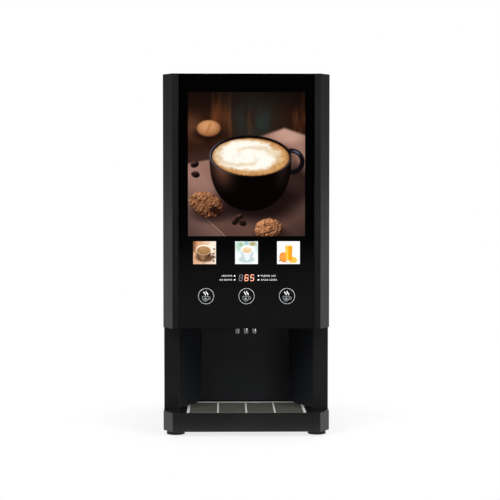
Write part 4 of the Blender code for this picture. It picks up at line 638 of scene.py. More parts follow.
def coffee_still_life(x, y):
    """A dark cup of milk coffee on a brown cloth, with biscuits and beans. x runs right, y up, in mm."""
    cell = x[1, 0] - x[0, 0]
    paint = wash(x, "#27130b")
    paint = lay(paint, "#8a4a24", 0.6 * step(cloud(x, y * 0.16, 13, 5), 0.0, 0.75) * step(y, 150, 215))
    paint = lay(paint, "#9a6444", 0.5 * hump(x - 6, 20) * hump(y - 196, 26))
    haze = hump(x - 118, 46) * step(y, 130, 215)
    paint = lay(paint, "#24403f", haze * (0.5 + 0.45 * cloud(x, y * 0.5, 24, 21, 3)).clip(0, 1))
    paint = lay(paint, "#120a08", 0.65 * step(y, 208, 262))
    # table top and cloth
    table_edge = 152 + 0.12 * x + 5 * cloud(x, y * 0, 60, 3, 1)
    paint = lay(paint, "#3c2722", step(table_edge - y, -14, 12) * 0.85)
    weave = 0.5 + 0.5 * cloud(x, y, 2.6, 40, 2)
    fold = cloud(x + 0.6 * y, y * 0.5, 46, 61, 2)
    cloth = wash(x, "#8b665a")
    cloth = lay(cloth, "#a47e70", step(fold, -0.1, 0.7) * 0.65)
    cloth = lay(cloth, "#3a241f", step(-fold, -0.1, 0.7) * 0.6)
    cloth = lay(cloth, "#a07a6c", 0.10 * weave)
    cloth = lay(cloth, "#2a1815", 0.55 * step(90 - y, -30, 90))
    cloth = spot_of(cloth, x, y, (184, 184), (44, 22), "#c99f8e", 0.75, 1.3, 0.9, turn=14)
    far = step(196 - 0.34 * np.abs(x - 172) - y, 0, 7) * step(x, 112, 126)
    near = step(132 + 0.18 * x - y, 0, 5)
    paint = lay(paint, cloth, np.clip(np.maximum(far, near), 0, 1))
    corner = 0.98 * x + 3 * cloud(x, y, 30, 77, 1) + y - 62
    paint = lay(paint, "#caa593", 0.75 * hump(corner - 1.2, 1.1))
    paint = lay(paint, "#7c5b54", step(-corner, 0, 5) * 0.88)
    # shadows on the cloth
    for centre, radii, depth in (
        ((124, 60), (84, 38), 0.93),
        ((40, 42), (40, 20), 0.6),
        ((150, 4), (34, 14), 0.5),
        ((36, 182), (30, 13), 0.7),
        ((188, 92), (44, 38), 0.75),
    ):
        paint = spot_of(paint, x, y, centre, radii, "#140b0a", depth, 1.25, 0.75)
    # smooth round biscuit behind the cup
    away, p, q = oval(x, y, (37, 192), (22.5, 15.5))
    bun = between("#6a3a20", "#dca06c", 0.08 + 0.75 * bump_of(away) + 0.3 * q - 0.12 * p)
    bun = lay(bun, "#8a5330", 0.5 * hump(p * 9 - 2.2 * q) * step(0.8 - np.abs(q), 0, 0.5))
    paint = lay(paint, bun, step(1 - away, -0.05, 0.16))
    # cracked biscuits
    for centre, radii, turn, seed, pale in (((33, 56), (32, 23), -24, 31, -0.14), ((144, 12), (26, 20), 4, 57, 0.03)):
        rough = cloud(x, y, 3.4, seed, 3)
        away, p, q = oval(x + 1.2 * rough, y + 1.2 * cloud(x, y, 7, seed + 9, 2), centre, radii, turn)
        crack = hump(8 * cloud(x, y, 8, seed + 20, 3))
        crumb = between("#2a120a", "#cf8f62", 1.1 * lit(9 * bump_of(away) + 1.7 * rough - 0.9 * crack, cell) + pale)
        crumb = lay(crumb, "#2a120a", 0.45 * step(crack, 0.45, 0.95))
        if seed == 31:
            bite, _, _ = oval(x, y, (49, 45), (13, 7), -30)
            crumb = lay(crumb, "#1d0c07", 0.85 * step(1.1 - bite + 0.35 * rough, 0, 0.35))
        paint = lay(paint, crumb, step(1 - away, 0, 0.07))
    # coffee beans
    for spot, turn in (((12, 128), 20), ((13.5, 110), -15), ((91, 33), 35), ((97, 24), -30), ((84, 27), 70)):
        away, p, q = oval(x, y, spot, (8.2, 6.2), turn)
        bean = between("#0e0706", "#5c3c34", lit(4.5 * bump_of(away), cell) ** 2)
        bean = lay(bean, "#050303", 0.9 * hump(q * 7 + 0.9 * np.sin(p * 3)))
        paint = lay(paint, bean, step(1 - away, 0, 0.12))
    # handle, then the cup's body, rim and coffee
    cup, rim = (111.5, 142.2), (73.5, 37.5)
    away, p, q = oval(x, y, (184.5, 133), (24.5, 24), -14)
    inside = 1 - np.abs(away - 0.80) / 0.20
    behind_cup = step(x, 178, 181)
    paint = lay(paint, "#0b0a0d", step(inside, 0, 0.3) * behind_cup)
    shine = hump((p - 0.25) * 2.6) * step(np.abs(q), 0.45, 0.8)
    paint = lay(paint, "#66728e", step(inside, 0.45, 1.0) * behind_cup * shine * step(q, -0.4, 0.4))
    across, fall, inside = cup_side(x, y, cup, rim[0], 98, 2.6, -0.2, 1.2)
    body = wash(x, "#060202")
    for place, width, colour, cover in ((-0.70, 0.24, "#7e4f3c", 0.8), (0.78, 0.14, "#33201f", 0.55)):
        glow = hump(across - place, width) * step(0.75 - fall / 98, 0, 0.6)
        body = lay(body, colour, cover * glow)
    paint = lay(paint, body, inside)
    away, p, q = oval(x, y, cup, rim, -1.5)
    paint = lay(paint, "#0a0709", step(1 - away, 0, 0.015))
    lip = 0.75 * step(-p - 0.15 * q, 0.25, 0.9) + 0.55 * step(p, 0.5, 1.0) * step(-q, -0.5, 0.4)
    paint = lay(paint, "#8f8ba3", lip * hump(away - 0.978, 0.012))
    away, p, q = oval(x, y, (cup[0] + 0.4, cup[1] - 1.3), (rim[0] - 4.0, rim[1] - 3.6), -1.5)
    coffee = between("#b07a42", "#dcaf78", 0.5 + 0.6 * cloud(x, y * 1.6, 2.6, 93, 2))
    coffee = lay(coffee, "#7c4a24", 0.7 * step(away, 0.9, 1.0))
    heart, p, q = oval(x, y, (cup[0] - 6.5, cup[1] + 1.5), (rim[0] - 14, rim[1] - 9.5), -2)
    heart = heart + 0.14 * cloud(x, y * 1.8, 12, 90, 4)
    swirl = 0.5 + 0.5 * np.sin(9 * heart + 2.2 * np.arctan2(q, p))
    foam = between("#fcf7ee", "#d9c19c", 0.7 * swirl**3 * step(heart, 0.1, 0.6) + 0.12 * cloud(x, y, 4, 70, 2))
    coffee = lay(coffee, foam, step(1.1 - heart, -0.02, 0.3) * 0.97)
    paint = lay(paint, coffee, step(1 - away, 0, 0.02))
    corners = step(np.hypot((x - 104) / 150, (y - 118) / 175), 0.62, 1.05)
    return lay(paint, "#0a0606", 0.42 * corners)


def milk_coffee(x, y):
    """A cream cup of milk coffee on a sandy cloth, with a few beans."""
    paint = between("#d39a73", "#f6dcc4", 0.5 + 0.02 * (x - 14) - 0.012 * (y - 20) + 0.3 * cloud(x, y, 14, 3, 2))
    paint = lay(paint, "#fdf3e6", 0.8 * step(x + 0.5 * y, 34, 46) * step(0.5 + cloud(x, y, 9, 9, 2), 0.2, 0.9))
    brown = step(0.2 + cloud(x, y, 8, 14, 2), 0.1, 0.7) * step(15 - x, -8, 8) * step(20 - y, 0, 10)
    paint = lay(paint, "#5a3216", 0.9 * brown)
    paint = lay(paint, "#6b4023", 0.7 * step(9 - x, 0, 8) * step(y, 18, 26))
    paint = spot_of(paint, x, y, (21, 12.5), (18, 9.5), "#4a2a14", 0.8, 1.15, 0.5)
    across, fall, inside = cup_side(x, y, (18.5, 24.5), 13.6, 17.5, 2.2, 0, 0.7)
    paint = lay(paint, between("#3c2415", "#b58a66", 0.65 - 0.6 * np.abs(across + 0.2) + 0.2 * fall / 17), inside)
    away, _, _ = oval(x, y, (34.5, 19.5), (4.6, 5.2), -30)
    paint = lay(paint, "#e9d2b8", step(1 - np.abs(away - 0.8) / 0.2, 0, 0.5) * step(x, 30.5, 32))
    away, p, q = oval(x, y, (18.5, 25), (14.3, 9.6))
    paint = disc(paint, away, 0.05, "#b98f6a", "#fff6e8", 0.6 + 0.5 * q)
    away, p, q = oval(x, y, (18.5, 24.6), (12.6, 8.0))
    paint = disc(paint, away, 0.08, "#8d6238", "#c39a6a", 0.55 + 0.35 * q + 0.2 * cloud(x, y, 3, 4, 2))
    for spot, turn in (((36.5, 19), 30), ((35, 14.5), -20), ((38, 12.2), 10), ((36.6, 5.4), 60), ((37.5, 27), -40)):
        away, p, q = oval(x, y, spot, (2.2, 1.5), turn)
        paint = disc(paint, away, 0.2, "#1c0f08", "#5e3b22", bump_of(away))
    return paint


def hot_milk(x, y):
    """A white cup of hot milk on a bright table with pale greenery behind."""
    paint = between("#c4dcd6", "#f6fbf9", 0.55 + 0.5 * cloud(x, y, 12, 18, 2))
    for spot, radii, colour, cover in (
        ((6, 32), (6, 10), "#a9d0b4", 0.7),
        ((11, 35), (4.5, 4), "#8fae74", 0.6),
        ((31.5, 36), (7.5, 4.2), "#b39a62", 0.85),
        ((20, 38), (4, 6), "#8fbcc6", 0.7),
        ((38, 30), (4, 8), "#bfe0d4", 0.5),
    ):
        paint = spot_of(paint, x, y, spot, radii, colour, cover, 1.2, 0.8)
    paint = lay(paint, "#f7faf9", step(24 - y + 2 * cloud(x, y, 20, 4, 1), 0, 6) * 0.8)
    paint = spot_of(paint, x, y, (20.5, 8.5), (15.5, 6.5), "#b9cbd0", 0.8, 1.1, 0.35)
    across, fall, inside = cup_side(x, y, (21.5, 25), 11.3, 19, 2.6, 0, 0.9)
    bowl = between("#9fb8c0", "#f7fafb", 0.9 - 0.75 * across**2 - 0.4 * step(4 - fall, 0, 4))
    paint = lay(paint, bowl, inside)
    away, _, q = oval(x, y, (21.5, 26), (11.8, 7.8))
    paint = disc(paint, away, 0.06, "#ecf1f3", "#ffffff", 0.6 + 0.4 * q)
    away, _, q = oval(x, y, (21.3, 25.2), (9.6, 5.8))
    paint = disc(paint, away, 0.2, "#e4bf86", "#f6e4c4", 0.5 + 0.5 * q + 0.3 * cloud(x, y, 4, 2, 2))
    return paint


def orange_juice(x, y):
    """A tall glass of orange juice with a cut orange, a wedge and a leaf on plain white."""
    paint = wash(x, "#fefdfb")
    paint = spot_of(paint, x, y, (21, 3.4), (15, 2.6), "#e9dfcf", 0.7, 1.1, 0.6)
    away, _, _ = oval(x, y, (6.8, 7.2), (4.0, 1.9), 28)
    paint = disc(paint, away, 0.25, "#2c6b1c", "#6aa83a", 0.5 + 0.5 * cloud(x, y, 3, 8, 2))
    away, p, q = oval(x, y, (11.4, 12.2), (7.6, 9.4), 12)
    paint = disc(paint, away, 0.08, "#d9600f", "#ffb347", bump_of(away) * 0.8 + 0.2 * q)
    spokes = np.abs(np.sin(4.5 * np.arctan2(q, p)))
    flesh = between("#fff0c2", "#f98a1e", 0.35 + 0.75 * spokes)
    paint = lay(paint, flesh, step(0.84 - away, 0, 0.06) * 0.85)
    away, p, q = oval(x, y, (28.5, 7.4), (8.0, 6.0), -8)
    paint = disc(paint, away, 0.1, "#f08a12", "#ffd45c", 0.4 + 0.6 * np.abs(np.sin(3.5 * np.arctan2(q, p))))
    side = np.abs(x - 21.0) / (5.6 + 0.05 * (y - 8))
    tall = step(y, 6.6, 7.3) * step(32.6 - y, 0, 0.5)
    juice = between("#f08a05", "#ffc526", 0.95 - 0.75 * np.clip((x - 16.5) / 10, 0, 1) + 0.12 * cloud(x, y, 4, 6, 2))
    paint = lay(paint, juice, step(1 - side, 0, 0.12) * tall)
    glassy = step(1 - side, 0, 0.10) * step(y, 32.3, 32.8) * step(35.4 - y, 0, 0.4)
    paint = lay(paint, "#f0e4c6", 0.8 * glassy)
    paint = lay(paint, "#fff3cf", 0.6 * hump(x - 18.4, 0.6) * tall)
    return paint


# Backlit film under a clear gloss: most of its light comes through it, the rest from in front.
film_finish, tree = bare("backlit_film")
art = add(tree, "VertexColor", layer_name="print").outputs["Color"]
printed = {
    "Base Color": add(tree, "Mix", {0: 0.71, 6: art, 7: hue("#000000")}, data_type="RGBA").outputs[2],
    "Roughness": 0.09,
    "Emission Color": art,
    "Emission Strength": 0.72,
    "Specular IOR Level": 0.3,
}
surface(tree, add(tree, "BsdfPrincipled", printed))

FILM_THICKNESS = 0.00015
FILM_FRONT = PANEL_FRONT - FILM_THICKNESS


def film(name, paint, middle, size, cells):
    """A thin closed sheet whose front carries a painted picture, one colour at each crossing."""
    x, y = np.meshgrid(np.linspace(0, 1, cells[0] + 1), np.linspace(0, 1, cells[1] + 1), indexing="ij")
    art = np.clip(paint(x * size[0] * 1000, y * size[1] * 1000), 0, 1)
    left, bottom = middle[0] - size[0] / 2, middle[1] - size[1] / 2
    spots = np.stack([left + x * size[0], np.full(x.shape, FILM_FRONT), bottom + y * size[1]], -1)
    index = np.arange(x.size).reshape(x.shape)
    quads = [index[:-1, :-1], index[1:, :-1], index[1:, 1:], index[:-1, 1:]]
    faces = np.stack([corner.ravel() for corner in quads], -1).tolist()
    rim = np.concatenate([index[:-1, 0], index[-1, :-1], index[:0:-1, -1], index[0, :0:-1]])
    back = spots.reshape(-1, 3)[rim] + (0, FILM_THICKNESS, 0)
    behind = x.size + np.arange(len(rim))
    after, behind_after = np.roll(rim, -1), np.roll(behind, -1)
    faces += np.stack([rim, behind, behind_after, after], -1).tolist()
    faces.append(behind[::-1].tolist())
    mesh = bpy.data.meshes.new(name)
    mesh.from_pydata(np.concatenate([spots.reshape(-1, 3), back]).tolist(), [], faces)
    colours = np.ones((x.size + len(rim), 4), np.float32)
    colours[: x.size, :3] = linear(art.reshape(-1, 3))
    colours[x.size :, :3] = 0.8
    mesh.color_attributes.new("print", "FLOAT_COLOR", "POINT").data.foreach_set("color", colours.ravel())
    mesh.materials.append(film_finish)
    sheet = placed(name, mesh)
    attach(sheet, "door")


POSTER_SIZE = (0.2088, 0.2566)
PICTURE_SIZE = 0.0407
POSTER_DROP, PICTURES_DROP = 0.0329, 0.31925  # from the panel's top to the poster, and to the pictures' middle
POSTER_MIDDLE, PICTURE_MIDDLE = panel_high.z - POSTER_DROP - POSTER_SIZE[1] / 2, panel_high.z - PICTURES_DROP
film("poster_film", coffee_still_life, (0, POSTER_MIDDLE), POSTER_SIZE, (200, 246))
for name, paint, x in (("left", milk_coffee, -0.075), ("centre", hot_milk, 0.0), ("right", orange_juice, 0.075)):
    film(f"picture_film_{name}", paint, (x, PICTURE_MIDDLE), (PICTURE_SIZE, PICTURE_SIZE), (96, 96))


# ---- Display ----
# Behind the acrylic glow three slanted digits and four lamps with their state beside each, where
# the black print leaves windows. The first digit is off and its bars show as pale grey.
def glowing(name, colours, strength):
    """A lit window, or print given a painted glow: diffusing ink whose light is a little uneven."""
    material, tree = bare(name)
    place = add(tree, "TexCoord").outputs["Object"]
    uneven = add(tree, "TexNoise", {"Vector": place, "Scale": 900.0, "Detail": 1.0})
    tone = toned(tree, uneven, *colours)
    inputs = {"Base Color": tone, "Roughness": 0.3, "Emission Color": tone, "Emission Strength": strength}
    surface(tree, add(tree, "BsdfPrincipled", inputs))
    return material


def shown(name, shapes, material):
    """Thin plates on the front of the panel, as one piece that rides on the door."""
    bm = gathered(shapes)
    bm.transform(Matrix.Translation((0, PANEL_FRONT - INK / 2, 0)))
    piece(name, bm, material, "door", "clear_plastic")


INK = 0.00012
BUTTONS_RISE, BUTTONS_TO_DISPLAY = 0.0584, 0.0329  # from the panel's lower edge, then to the digits
DISPLAY_Z = panel_low.z + BUTTONS_RISE + BUTTONS_TO_DISPLAY
DIGIT = (0.0068, 0.0118)  # width and height
DIGIT_PITCH, BAR, BAR_GAP, SLANT = 0.0101, 0.0012, 0.0002, 0.10


def digit_bars(middle_x, letters):
    """The named bars of one digit, a on top and g across the middle."""
    half_width, half_height = DIGIT[0] / 2 - BAR / 2, DIGIT[1] / 2 - BAR / 2
    ends = {
        "a": ((-1, 2), (1, 2)),
        "b": ((1, 2), (1, 0)),
        "c": ((1, 0), (1, -2)),
        "d": ((-1, -2), (1, -2)),
        "e": ((-1, 0), (-1, -2)),
        "f": ((-1, 2), (-1, 0)),
        "g": ((-1, 0), (1, 0)),
    }
    plates = []
    for letter in letters:
        first, second = (Vector((x * half_width, z / 2 * half_height)) for x, z in ends[letter])
        along = (second - first).normalized()
        across = Vector((-along.y, along.x)) * BAR / 2
        first, second = first + along * BAR_GAP, second - along * BAR_GAP
        tip = along * BAR / 2
        ring = [first, first + tip - across, second - tip - across]
        ring += [second, second - tip + across, first + tip + across]
        outline = [(middle_x + point.x + SLANT * point.y, DISPLAY_Z + point.y) for point in ring]
        plates.append(plate([outline], INK))
    return plates


# Orange light of the digits through tinted ink; bars that are off stay a pale grey, lifted by a faint painted glow.
orange_light = glowing("orange_digit_light", ("#ff9169", "#ffb492"), 0.92)
unlit_bar_painted_glow = glowing("unlit_digit_ink_painted_glow", ("#6f6a78", "#85808c"), 0.12)
lit_bars, unlit_bars = [], []
for x, on in ((-DIGIT_PITCH, ""), (0.0, "acdefg"), (DIGIT_PITCH, "acdfg")):  # off, then 6 and 5
    lit_bars += digit_bars(x, on)
    unlit_bars += digit_bars(x, [letter for letter in "abcdefg" if letter not in on])
shown("digits_lit", lit_bars, orange_light)
shown("digits_unlit", unlit_bars, unlit_bar_painted_glow)

# White lamps behind their windows, and white and grey screen print lifted by a faint painted glow.
white_light = glowing("white_window_light", ("#f2f4f6", "#ffffff"), 0.8)
LAMP_X, LAMP_RISE, LAMP_RADIUS = 0.0213, 0.0036, 0.0012
spots = [(x, DISPLAY_Z + rise) for x in (-LAMP_X, LAMP_X) for rise in (-LAMP_RISE, LAMP_RISE)]
lamps = [round_line(spot, LAMP_RADIUS, 24) for spot in spots]
shown("indicator_lamps", [plate([outline], INK) for outline in lamps], white_light)


def word(text, edge, middle_z, length, side):
    """A word printed beside a lamp, its near end at the edge."""
    letters = bpy.data.curves.new("word", "FONT")
    letters.body = text
    letters.size = WORD_HEIGHT / 0.72
    letters.extrude = INK / 2
    letters.space_character = 1.15
    bm = merged(placed("word", letters))
    start, end = (pick(v.co.x for v in bm.verts) for pick in (min, max))
    tall = max(v.co.y for v in bm.verts)
    fitted = Matrix.Diagonal((length / (end - start), 1, 1, 1)) @ Matrix.Translation((-start, 0, 0))
    spot = Matrix.Translation((edge if side > 0 else edge - length, 0, middle_z - tall / 2))
    bm.transform(spot @ Matrix.Rotation(math.pi / 2, 4, "X") @ fitted)
    return bm


# White print ink with a faint painted glow; it also marks the buttons' steam and the rocker's signs.
white_ink_painted_glow = glowing("white_print_ink_painted_glow", ("#e3e5e6", "#f2f3f4"), 0.22)
WORD_EDGE, WORD_HEIGHT = 0.0259, 0.0030
words = [
    word("HEATING", -WORD_EDGE, DISPLAY_Z + LAMP_RISE, 0.0185, -1),
    word("NO WATER", -WORD_EDGE, DISPLAY_Z - LAMP_RISE, 0.0224, -1),
    word("PLEASE USE", WORD_EDGE, DISPLAY_Z + LAMP_RISE, 0.0262, 1),
    word("CHILD LOCKS", WORD_EDGE, DISPLAY_Z - LAMP_RISE, 0.0282, 1),
]
shown("state_words", words, white_ink_painted_glow)


# ---- Push buttons ----
# Each is a black cap with a printed steaming cup, turned slightly hollow, with a stem and a flange
# behind the panel. A bright ring is bonded on the panel round it.
def stroke(points, width):
    """The outline of a line of one width, or of a width at each point."""
    widths = width if isinstance(width, (list, tuple)) else [width] * len(points)
    left, right = [], []
    for number, (x, z) in enumerate(points):
        before = points[max(number - 1, 0)]
        after = points[min(number + 1, len(points) - 1)]
        run = Vector((after[0] - before[0], after[1] - before[1])).normalized()
        half = widths[number] / 2
        left.append((x - run.y * half, z + run.x * half))
        right.append((x + run.y * half, z - run.x * half))
    return left + right[::-1]


# Bright ring: plated moulding whose turned surface is brightest where it faces the light.
ring_plate = finish("plated_ring", ("#c9cbcd", "#dee0e2"), (0.30, 0.40), 4.0, 0.006, Metallic=0.4)
# Polished black caps: a mirror gloss like the panel's.
cap_black = finish("polished_black_cap", ("#020202", "#040404"), (0.06, 0.10), 20, 0.0, drift=80)
# Grey print ink with a faint painted glow.
grey_print_painted_glow = glowing("grey_print_ink_painted_glow", ("#7b7e81", "#8c8f92"), 0.10)
for name, (x, z), (low, high) in zip(SIDES, button_spots, button_boxes):
    ring = [(HOLE_RADIUS, PANEL_FRONT + 0.0001), (HOLE_RADIUS, front_y + 0.0003), (HOLE_RADIUS + 0.0003, front_y)]
    ring += [(RING_RADIUS - 0.0004, front_y), (RING_RADIUS, front_y + 0.0003), (RING_RADIUS, PANEL_FRONT + 0.0001)]
    piece(f"button_ring_{name}", turned(ring, (x, 0, z), "Y", 72, closed=True), ring_plate, "door", "chrome")
    face = low.y
    flange = (high.x - low.x) / 2
    flange_y = PANEL_FRONT + PANEL_THICKNESS + 0.0003
    cap = [(0, face + 0.0003), (BUTTON_RADIUS * 0.6, face + 0.00022), (BUTTON_RADIUS - 0.0008, face)]
    cap += [(BUTTON_RADIUS - 0.0002, face + 0.0002), (BUTTON_RADIUS, face + 0.0006), (BUTTON_RADIUS, flange_y)]
    cap += [(flange, flange_y), (flange, flange_y + 0.0015), (0.004, flange_y + 0.0015), (0.004, high.y), (0, high.y)]
    body = f"drink_button_{name}"
    piece(f"button_cap_{name}", turned(cap, (x, 0, z), "Y", 64), cap_black, body, "black_acrylic", body)

    curls = []
    for shift, size in ((-0.0026, 0.88), (0.0016, 1.0)):
        wave = []
        for number in range(13):
            part = number / 12
            sway = 0.0012 * math.sin(2 * math.pi * part) + 0.0014 * (0.5 - part)
            wave.append((x + shift + sway, z + 0.0012 + 0.0088 * size * part))
        widths = [0.0003 + 0.0015 * math.sin(math.pi * min(number / 12 * 1.05, 1)) for number in range(13)]
        curls.append(plate([stroke(wave, widths)], INK))
    rim_left, rim_right, cup_top = x - 0.0070, x + 0.0044, z - 0.0004
    cup = [stroke([(rim_left, cup_top), (rim_right, cup_top)], 0.0011)]
    cup_middle, cup_half, cup_depth = (rim_left + rim_right) / 2, (rim_right - rim_left) / 2, 0.0086
    bowl = [(cup_middle + cup_half * a, cup_top + cup_depth * b) for a, b in round_line((0, 0), 1, 24, 180, 360)]
    cup.append(stroke(bowl, 0.0011))
    cup.append(stroke(round_line((x + 0.0050, z - 0.0034), 0.0025, 14, -120, 110), 0.0011))
    marks = [plate([outline], INK) for outline in cup]
    marks.append(plate([round_line((cup_middle, z - 0.0048), 0.0025, 28)], INK))
    # the steam and cup marks are print that carries a faint painted glow
    for label, shapes, ink in (("steam", curls, white_ink_painted_glow), ("cup", marks, grey_print_painted_glow)):
        mark = gathered(shapes)
        mark.transform(Matrix.Translation((0, face - INK / 2 + 0.0001, 0)))
        piece(f"button_{label}_{name}", mark, ink, body, "black_acrylic")


# ---- Canisters and powder ----
# Three blow-moulded polypropylene canisters, milky and half clear, with a push-on lid each. Through
# their walls shows the powder of each drink, heaped from filling.
# Polypropylene scatters light, so what is inside shows as a soft stain.
clouded = {"Transmission_Weight": 0.93, "IOR": 1.49}
milky_pp = finish("milky_polypropylene", ("#dfe3e5", "#eceff0"), (0.14, 0.22), 6, 0.002, 90, **clouded)
# The lids' polypropylene is filled white: opaque and waxy, with a dull sheen.
lid_pp = finish("white_polypropylene", ("#dcddda", "#e8e8e5"), (0.38, 0.48), 1.2, 0.012)
TROUGH_REACH, SHOULDER_RISE = 0.0155, 0.042  # half width and rise of the hopper's slanting sides
FILL = 0.118  # powder's top above the auger's axis
POWDERS = {"left": ("#6b3c1f", "#8b5430"), "centre": ("#e8d9bf", "#f4e9d3"), "right": ("#e08a22", "#f2a640")}
HEAP_ROUND, HEAP_ROUGH = 0.016, 0.0022
WALL = 0.0026
START_RISE = 0.0165  # the powder's lowest edge above the auger's axis
STEPS_X, STEPS_Y = 16, 28


def heap_of(low, high, axis_z):
    """Powder that fills a canister from above its auger, with a rounded, uneven top."""
    middle_x = (low.x + high.x) / 2
    half = (high.x - low.x) / 2 - WALL
    start_half = TROUGH_REACH + (half - TROUGH_REACH) * START_RISE / SHOULDER_RISE - 0.0012
    side = [(start_half, START_RISE), (half, SHOULDER_RISE + 0.001), (half, FILL)]
    bm = bmesh.new()
    rows = []
    for j in range(STEPS_Y + 1):
        y = low.y + WALL + (high.y - low.y - 2 * WALL) * j / STEPS_Y
        row = [(middle_x - reach, axis_z + rise) for reach, rise in side]
        for i in range(1, STEPS_X):
            x = middle_x - half + 2 * half * i / STEPS_X
            crown = math.cos((i / STEPS_X - 0.5) * math.pi) * math.sin(math.pi * j / STEPS_Y)
            bump = float(cloud(np.array([x * 1000.0]), np.array([y * 1000.0]), 18, 12, 2)[0])
            row.append((x, axis_z + FILL + HEAP_ROUND * crown + HEAP_ROUGH * bump))
        row += [(middle_x + reach, axis_z + rise) for reach, rise in reversed(side)]
        rows.append([bm.verts.new((x, y, z)) for x, z in row])
    skinned(bm, rows)
    bm.faces.new(rows[0])
    bm.faces.new(rows[-1])
    bmesh.ops.recalc_face_normals(bm, faces=bm.faces)
    return bm


for name, colours in POWDERS.items():
    canister, lid = f"canister_{name}", f"canister_lid_{name}"
    own(f"canister_shell_{name}", canister, 0.0006, milky_pp, "cabinet", "clear_plastic")
    own(f"canister_cap_{name}", lid, 0.0008, lid_pp, lid, "white_plastic")
    auger_low, auger_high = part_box(f"auger_{name}")
    heap = heap_of(*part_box(canister), (auger_low.z + auger_high.z) / 2)
    # Fine dry powder: matt, with grains a little coarser than real ones so that they show.
    powder = finish(f"drink_powder_{name}", colours, (0.85, 0.98), 1.6, 0.25, drift=24)
    piece(f"powder_{name}", heap, powder, "cabinet", "white_plastic", smooth=60)


# ---- Augers, bowls and whippers ----
# A nylon auger feeds powder from each canister into a mixing bowl, where a whipper stirs it with hot
# water. Bowls are clear mouldings, filmed with steam, and hang on the sheet steel chassis.
# Nylon is off-white and slightly waxy.
nylon = finish("white_nylon", ("#d9d8d2", "#e6e5df"), (0.34, 0.44), 1.0, 0.008)
# Clear moulded plastic that steam has fogged: it lets little of what is behind it through.
misted = {"Transmission_Weight": 0.35, "IOR": 1.54}
bowl_plastic = finish("steamed_clear_plastic", ("#dde2e4", "#eef1f2"), (0.20, 0.30), 8, 0.001, **misted)
# Zinc coated sheet: grey, with a faint cold bloom, drawn out along the sheet.
drawn = {"drift": 35, "stretch": (1, 1, 0.25), "Metallic": 1.0}
zinc_sheet = finish("zinc_coated_sheet", ("#8d9296", "#a6abae"), (0.30, 0.46), 2.5, 0.004, **drawn)
# Plated steel cans: brighter than the sheet, with lines drawn along them.
drawn = {"stretch": (1, 0.15, 1), "Metallic": 1.0}
motor_steel = finish("plated_motor_can", ("#a9abad", "#bcbec0"), (0.22, 0.34), 1.2, 0.004, **drawn)
own("inner_chassis_sheet", "inner_chassis", 0.0003, zinc_sheet, "cabinet", "steel")
for name in SIDES:
    own(f"mixing_bowl_shell_{name}", f"mixing_bowl_{name}", 0.0005, bowl_plastic, "cabinet", "clear_plastic")
    for node, label in ((f"auger_{name}", "feed_auger"), (f"whipper_{name}", "whipper_wheel")):
        own(f"{label}_{name}", node, 0.0003, nylon, node, "white_plastic")
    for kind, label in (("auger_motor", "gearbox_and_motor"), ("whipper_motor", "whipper_motor_can")):
        own(f"{label}_{name}", f"{kind}_{name}", 0.0006, motor_steel, "cabinet", "steel")


# ---- Water side ----
# Water comes in at a brass hose thread on the back. A pump pushes it through the boiler to a brass
# valve block, and silicone hoses take each drink from its bowl to the nozzles.
# Soft silicone: cloudy and slightly tacky, so its gloss is broad.
soft = {"Subsurface_Weight": 0.25, "Subsurface_Scale": 0.002}
silicone = finish("cloudy_silicone", ("#c9d2d8", "#dbe2e6"), (0.42, 0.55), 3, 0.01, **soft)
# Machined brass with its turning lines, dulled a little by handling.
brass = finish("machined_brass", ("#b08a45", "#c9a35c"), (0.20, 0.32), 0.9, 0.006, drift=14, Metallic=1.0)
# Brushed stainless steel: the brush marks run round the tank.
brushed = {"stretch": (0.2, 0.2, 2.5), "Metallic": 1.0}
brushed_steel = finish("brushed_stainless", ("#a7a9ab", "#babcbe"), (0.24, 0.36), 0.8, 0.004, **brushed)
for name in SIDES:
    own(f"drink_tube_{name}", f"drink_hose_{name}", 0.0004, silicone, "cabinet", "silicone_hose")
own("nozzle_holder", "nozzle_block", 0.0006, lid_pp, "cabinet", "white_plastic")
own("valve_row", "valve_block", 0.0005, brass, "cabinet", "brass")
own("pump_housing", "water_pump", 0.0008, lid_pp, "cabinet", "white_plastic")

# The tank stands on a waisted foot ring, has two raised bands, and ends in a port at its top.
low, high, middle, radius = upright("boiler")
radius -= 0.0004  # room for the bands
tank = steps_from(radius, low.z, (0, 0), (0, 2), (11.5, 2), (11.5, 18), (6, 20.5), (0, 24))
for band in (55, 175):
    tank += steps_from(radius, low.z, (0, band), (-0.4, band + 0.8), (-0.4, band + 11.2), (0, band + 12))
tank += steps_from(radius, high.z, (0, -23), (1.5, -17), (8.5, -12.4))
tank += steps_from(0, high.z, (-7.5, -12), (-6.0, -11.4), (-6.0, -1), (-5.2, 0), (0, 0))
tank.insert(0, (0, low.z))
piece("boiler_tank", turned(tank, middle, steps=72), brushed_steel, "cabinet", "steel", "boiler")

low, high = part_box("water_inlet_fitting")
middle = ((low.x + high.x) / 2, 0, (low.z + high.z) / 2)
flange = (high.x - low.x) / 2
NECK, THREAD, THREAD_ROOT, BORE, THREAD_PITCH = 0.0080, 0.0100, 0.0092, 0.0050, 0.0018
flange_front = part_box("rear_panel")[1].y + 0.0003
flange_back = flange_front + 0.0028
hose_thread = [(0, low.y), (NECK, low.y), (NECK, flange_front)]
hose_thread += steps_from(flange, flange_front, (0.5, 0), (0, 0.5))
hose_thread += steps_from(flange, flange_back, (0, -0.6), (0.6, -0.2))
hose_thread.append((THREAD_ROOT, flange_back - 0.0002))
along = flange_back + 0.0002
while along + THREAD_PITCH < high.y:
    crest = along + 0.4 * THREAD_PITCH
    hose_thread += [(THREAD_ROOT, along), (THREAD, crest), (THREAD, crest + 0.15 * THREAD_PITCH)]
    along += THREAD_PITCH
hose_thread += [(THREAD_ROOT, high.y - 0.0003), (THREAD_ROOT - 0.0004, high.y), (BORE, high.y)]
hose_thread += [(BORE, low.y + 0.003), (0, low.y + 0.003)]
piece("water_hose_thread", turned(hose_thread, middle, "Y"), brass, "cabinet", "brass", "water_inlet_fitting")


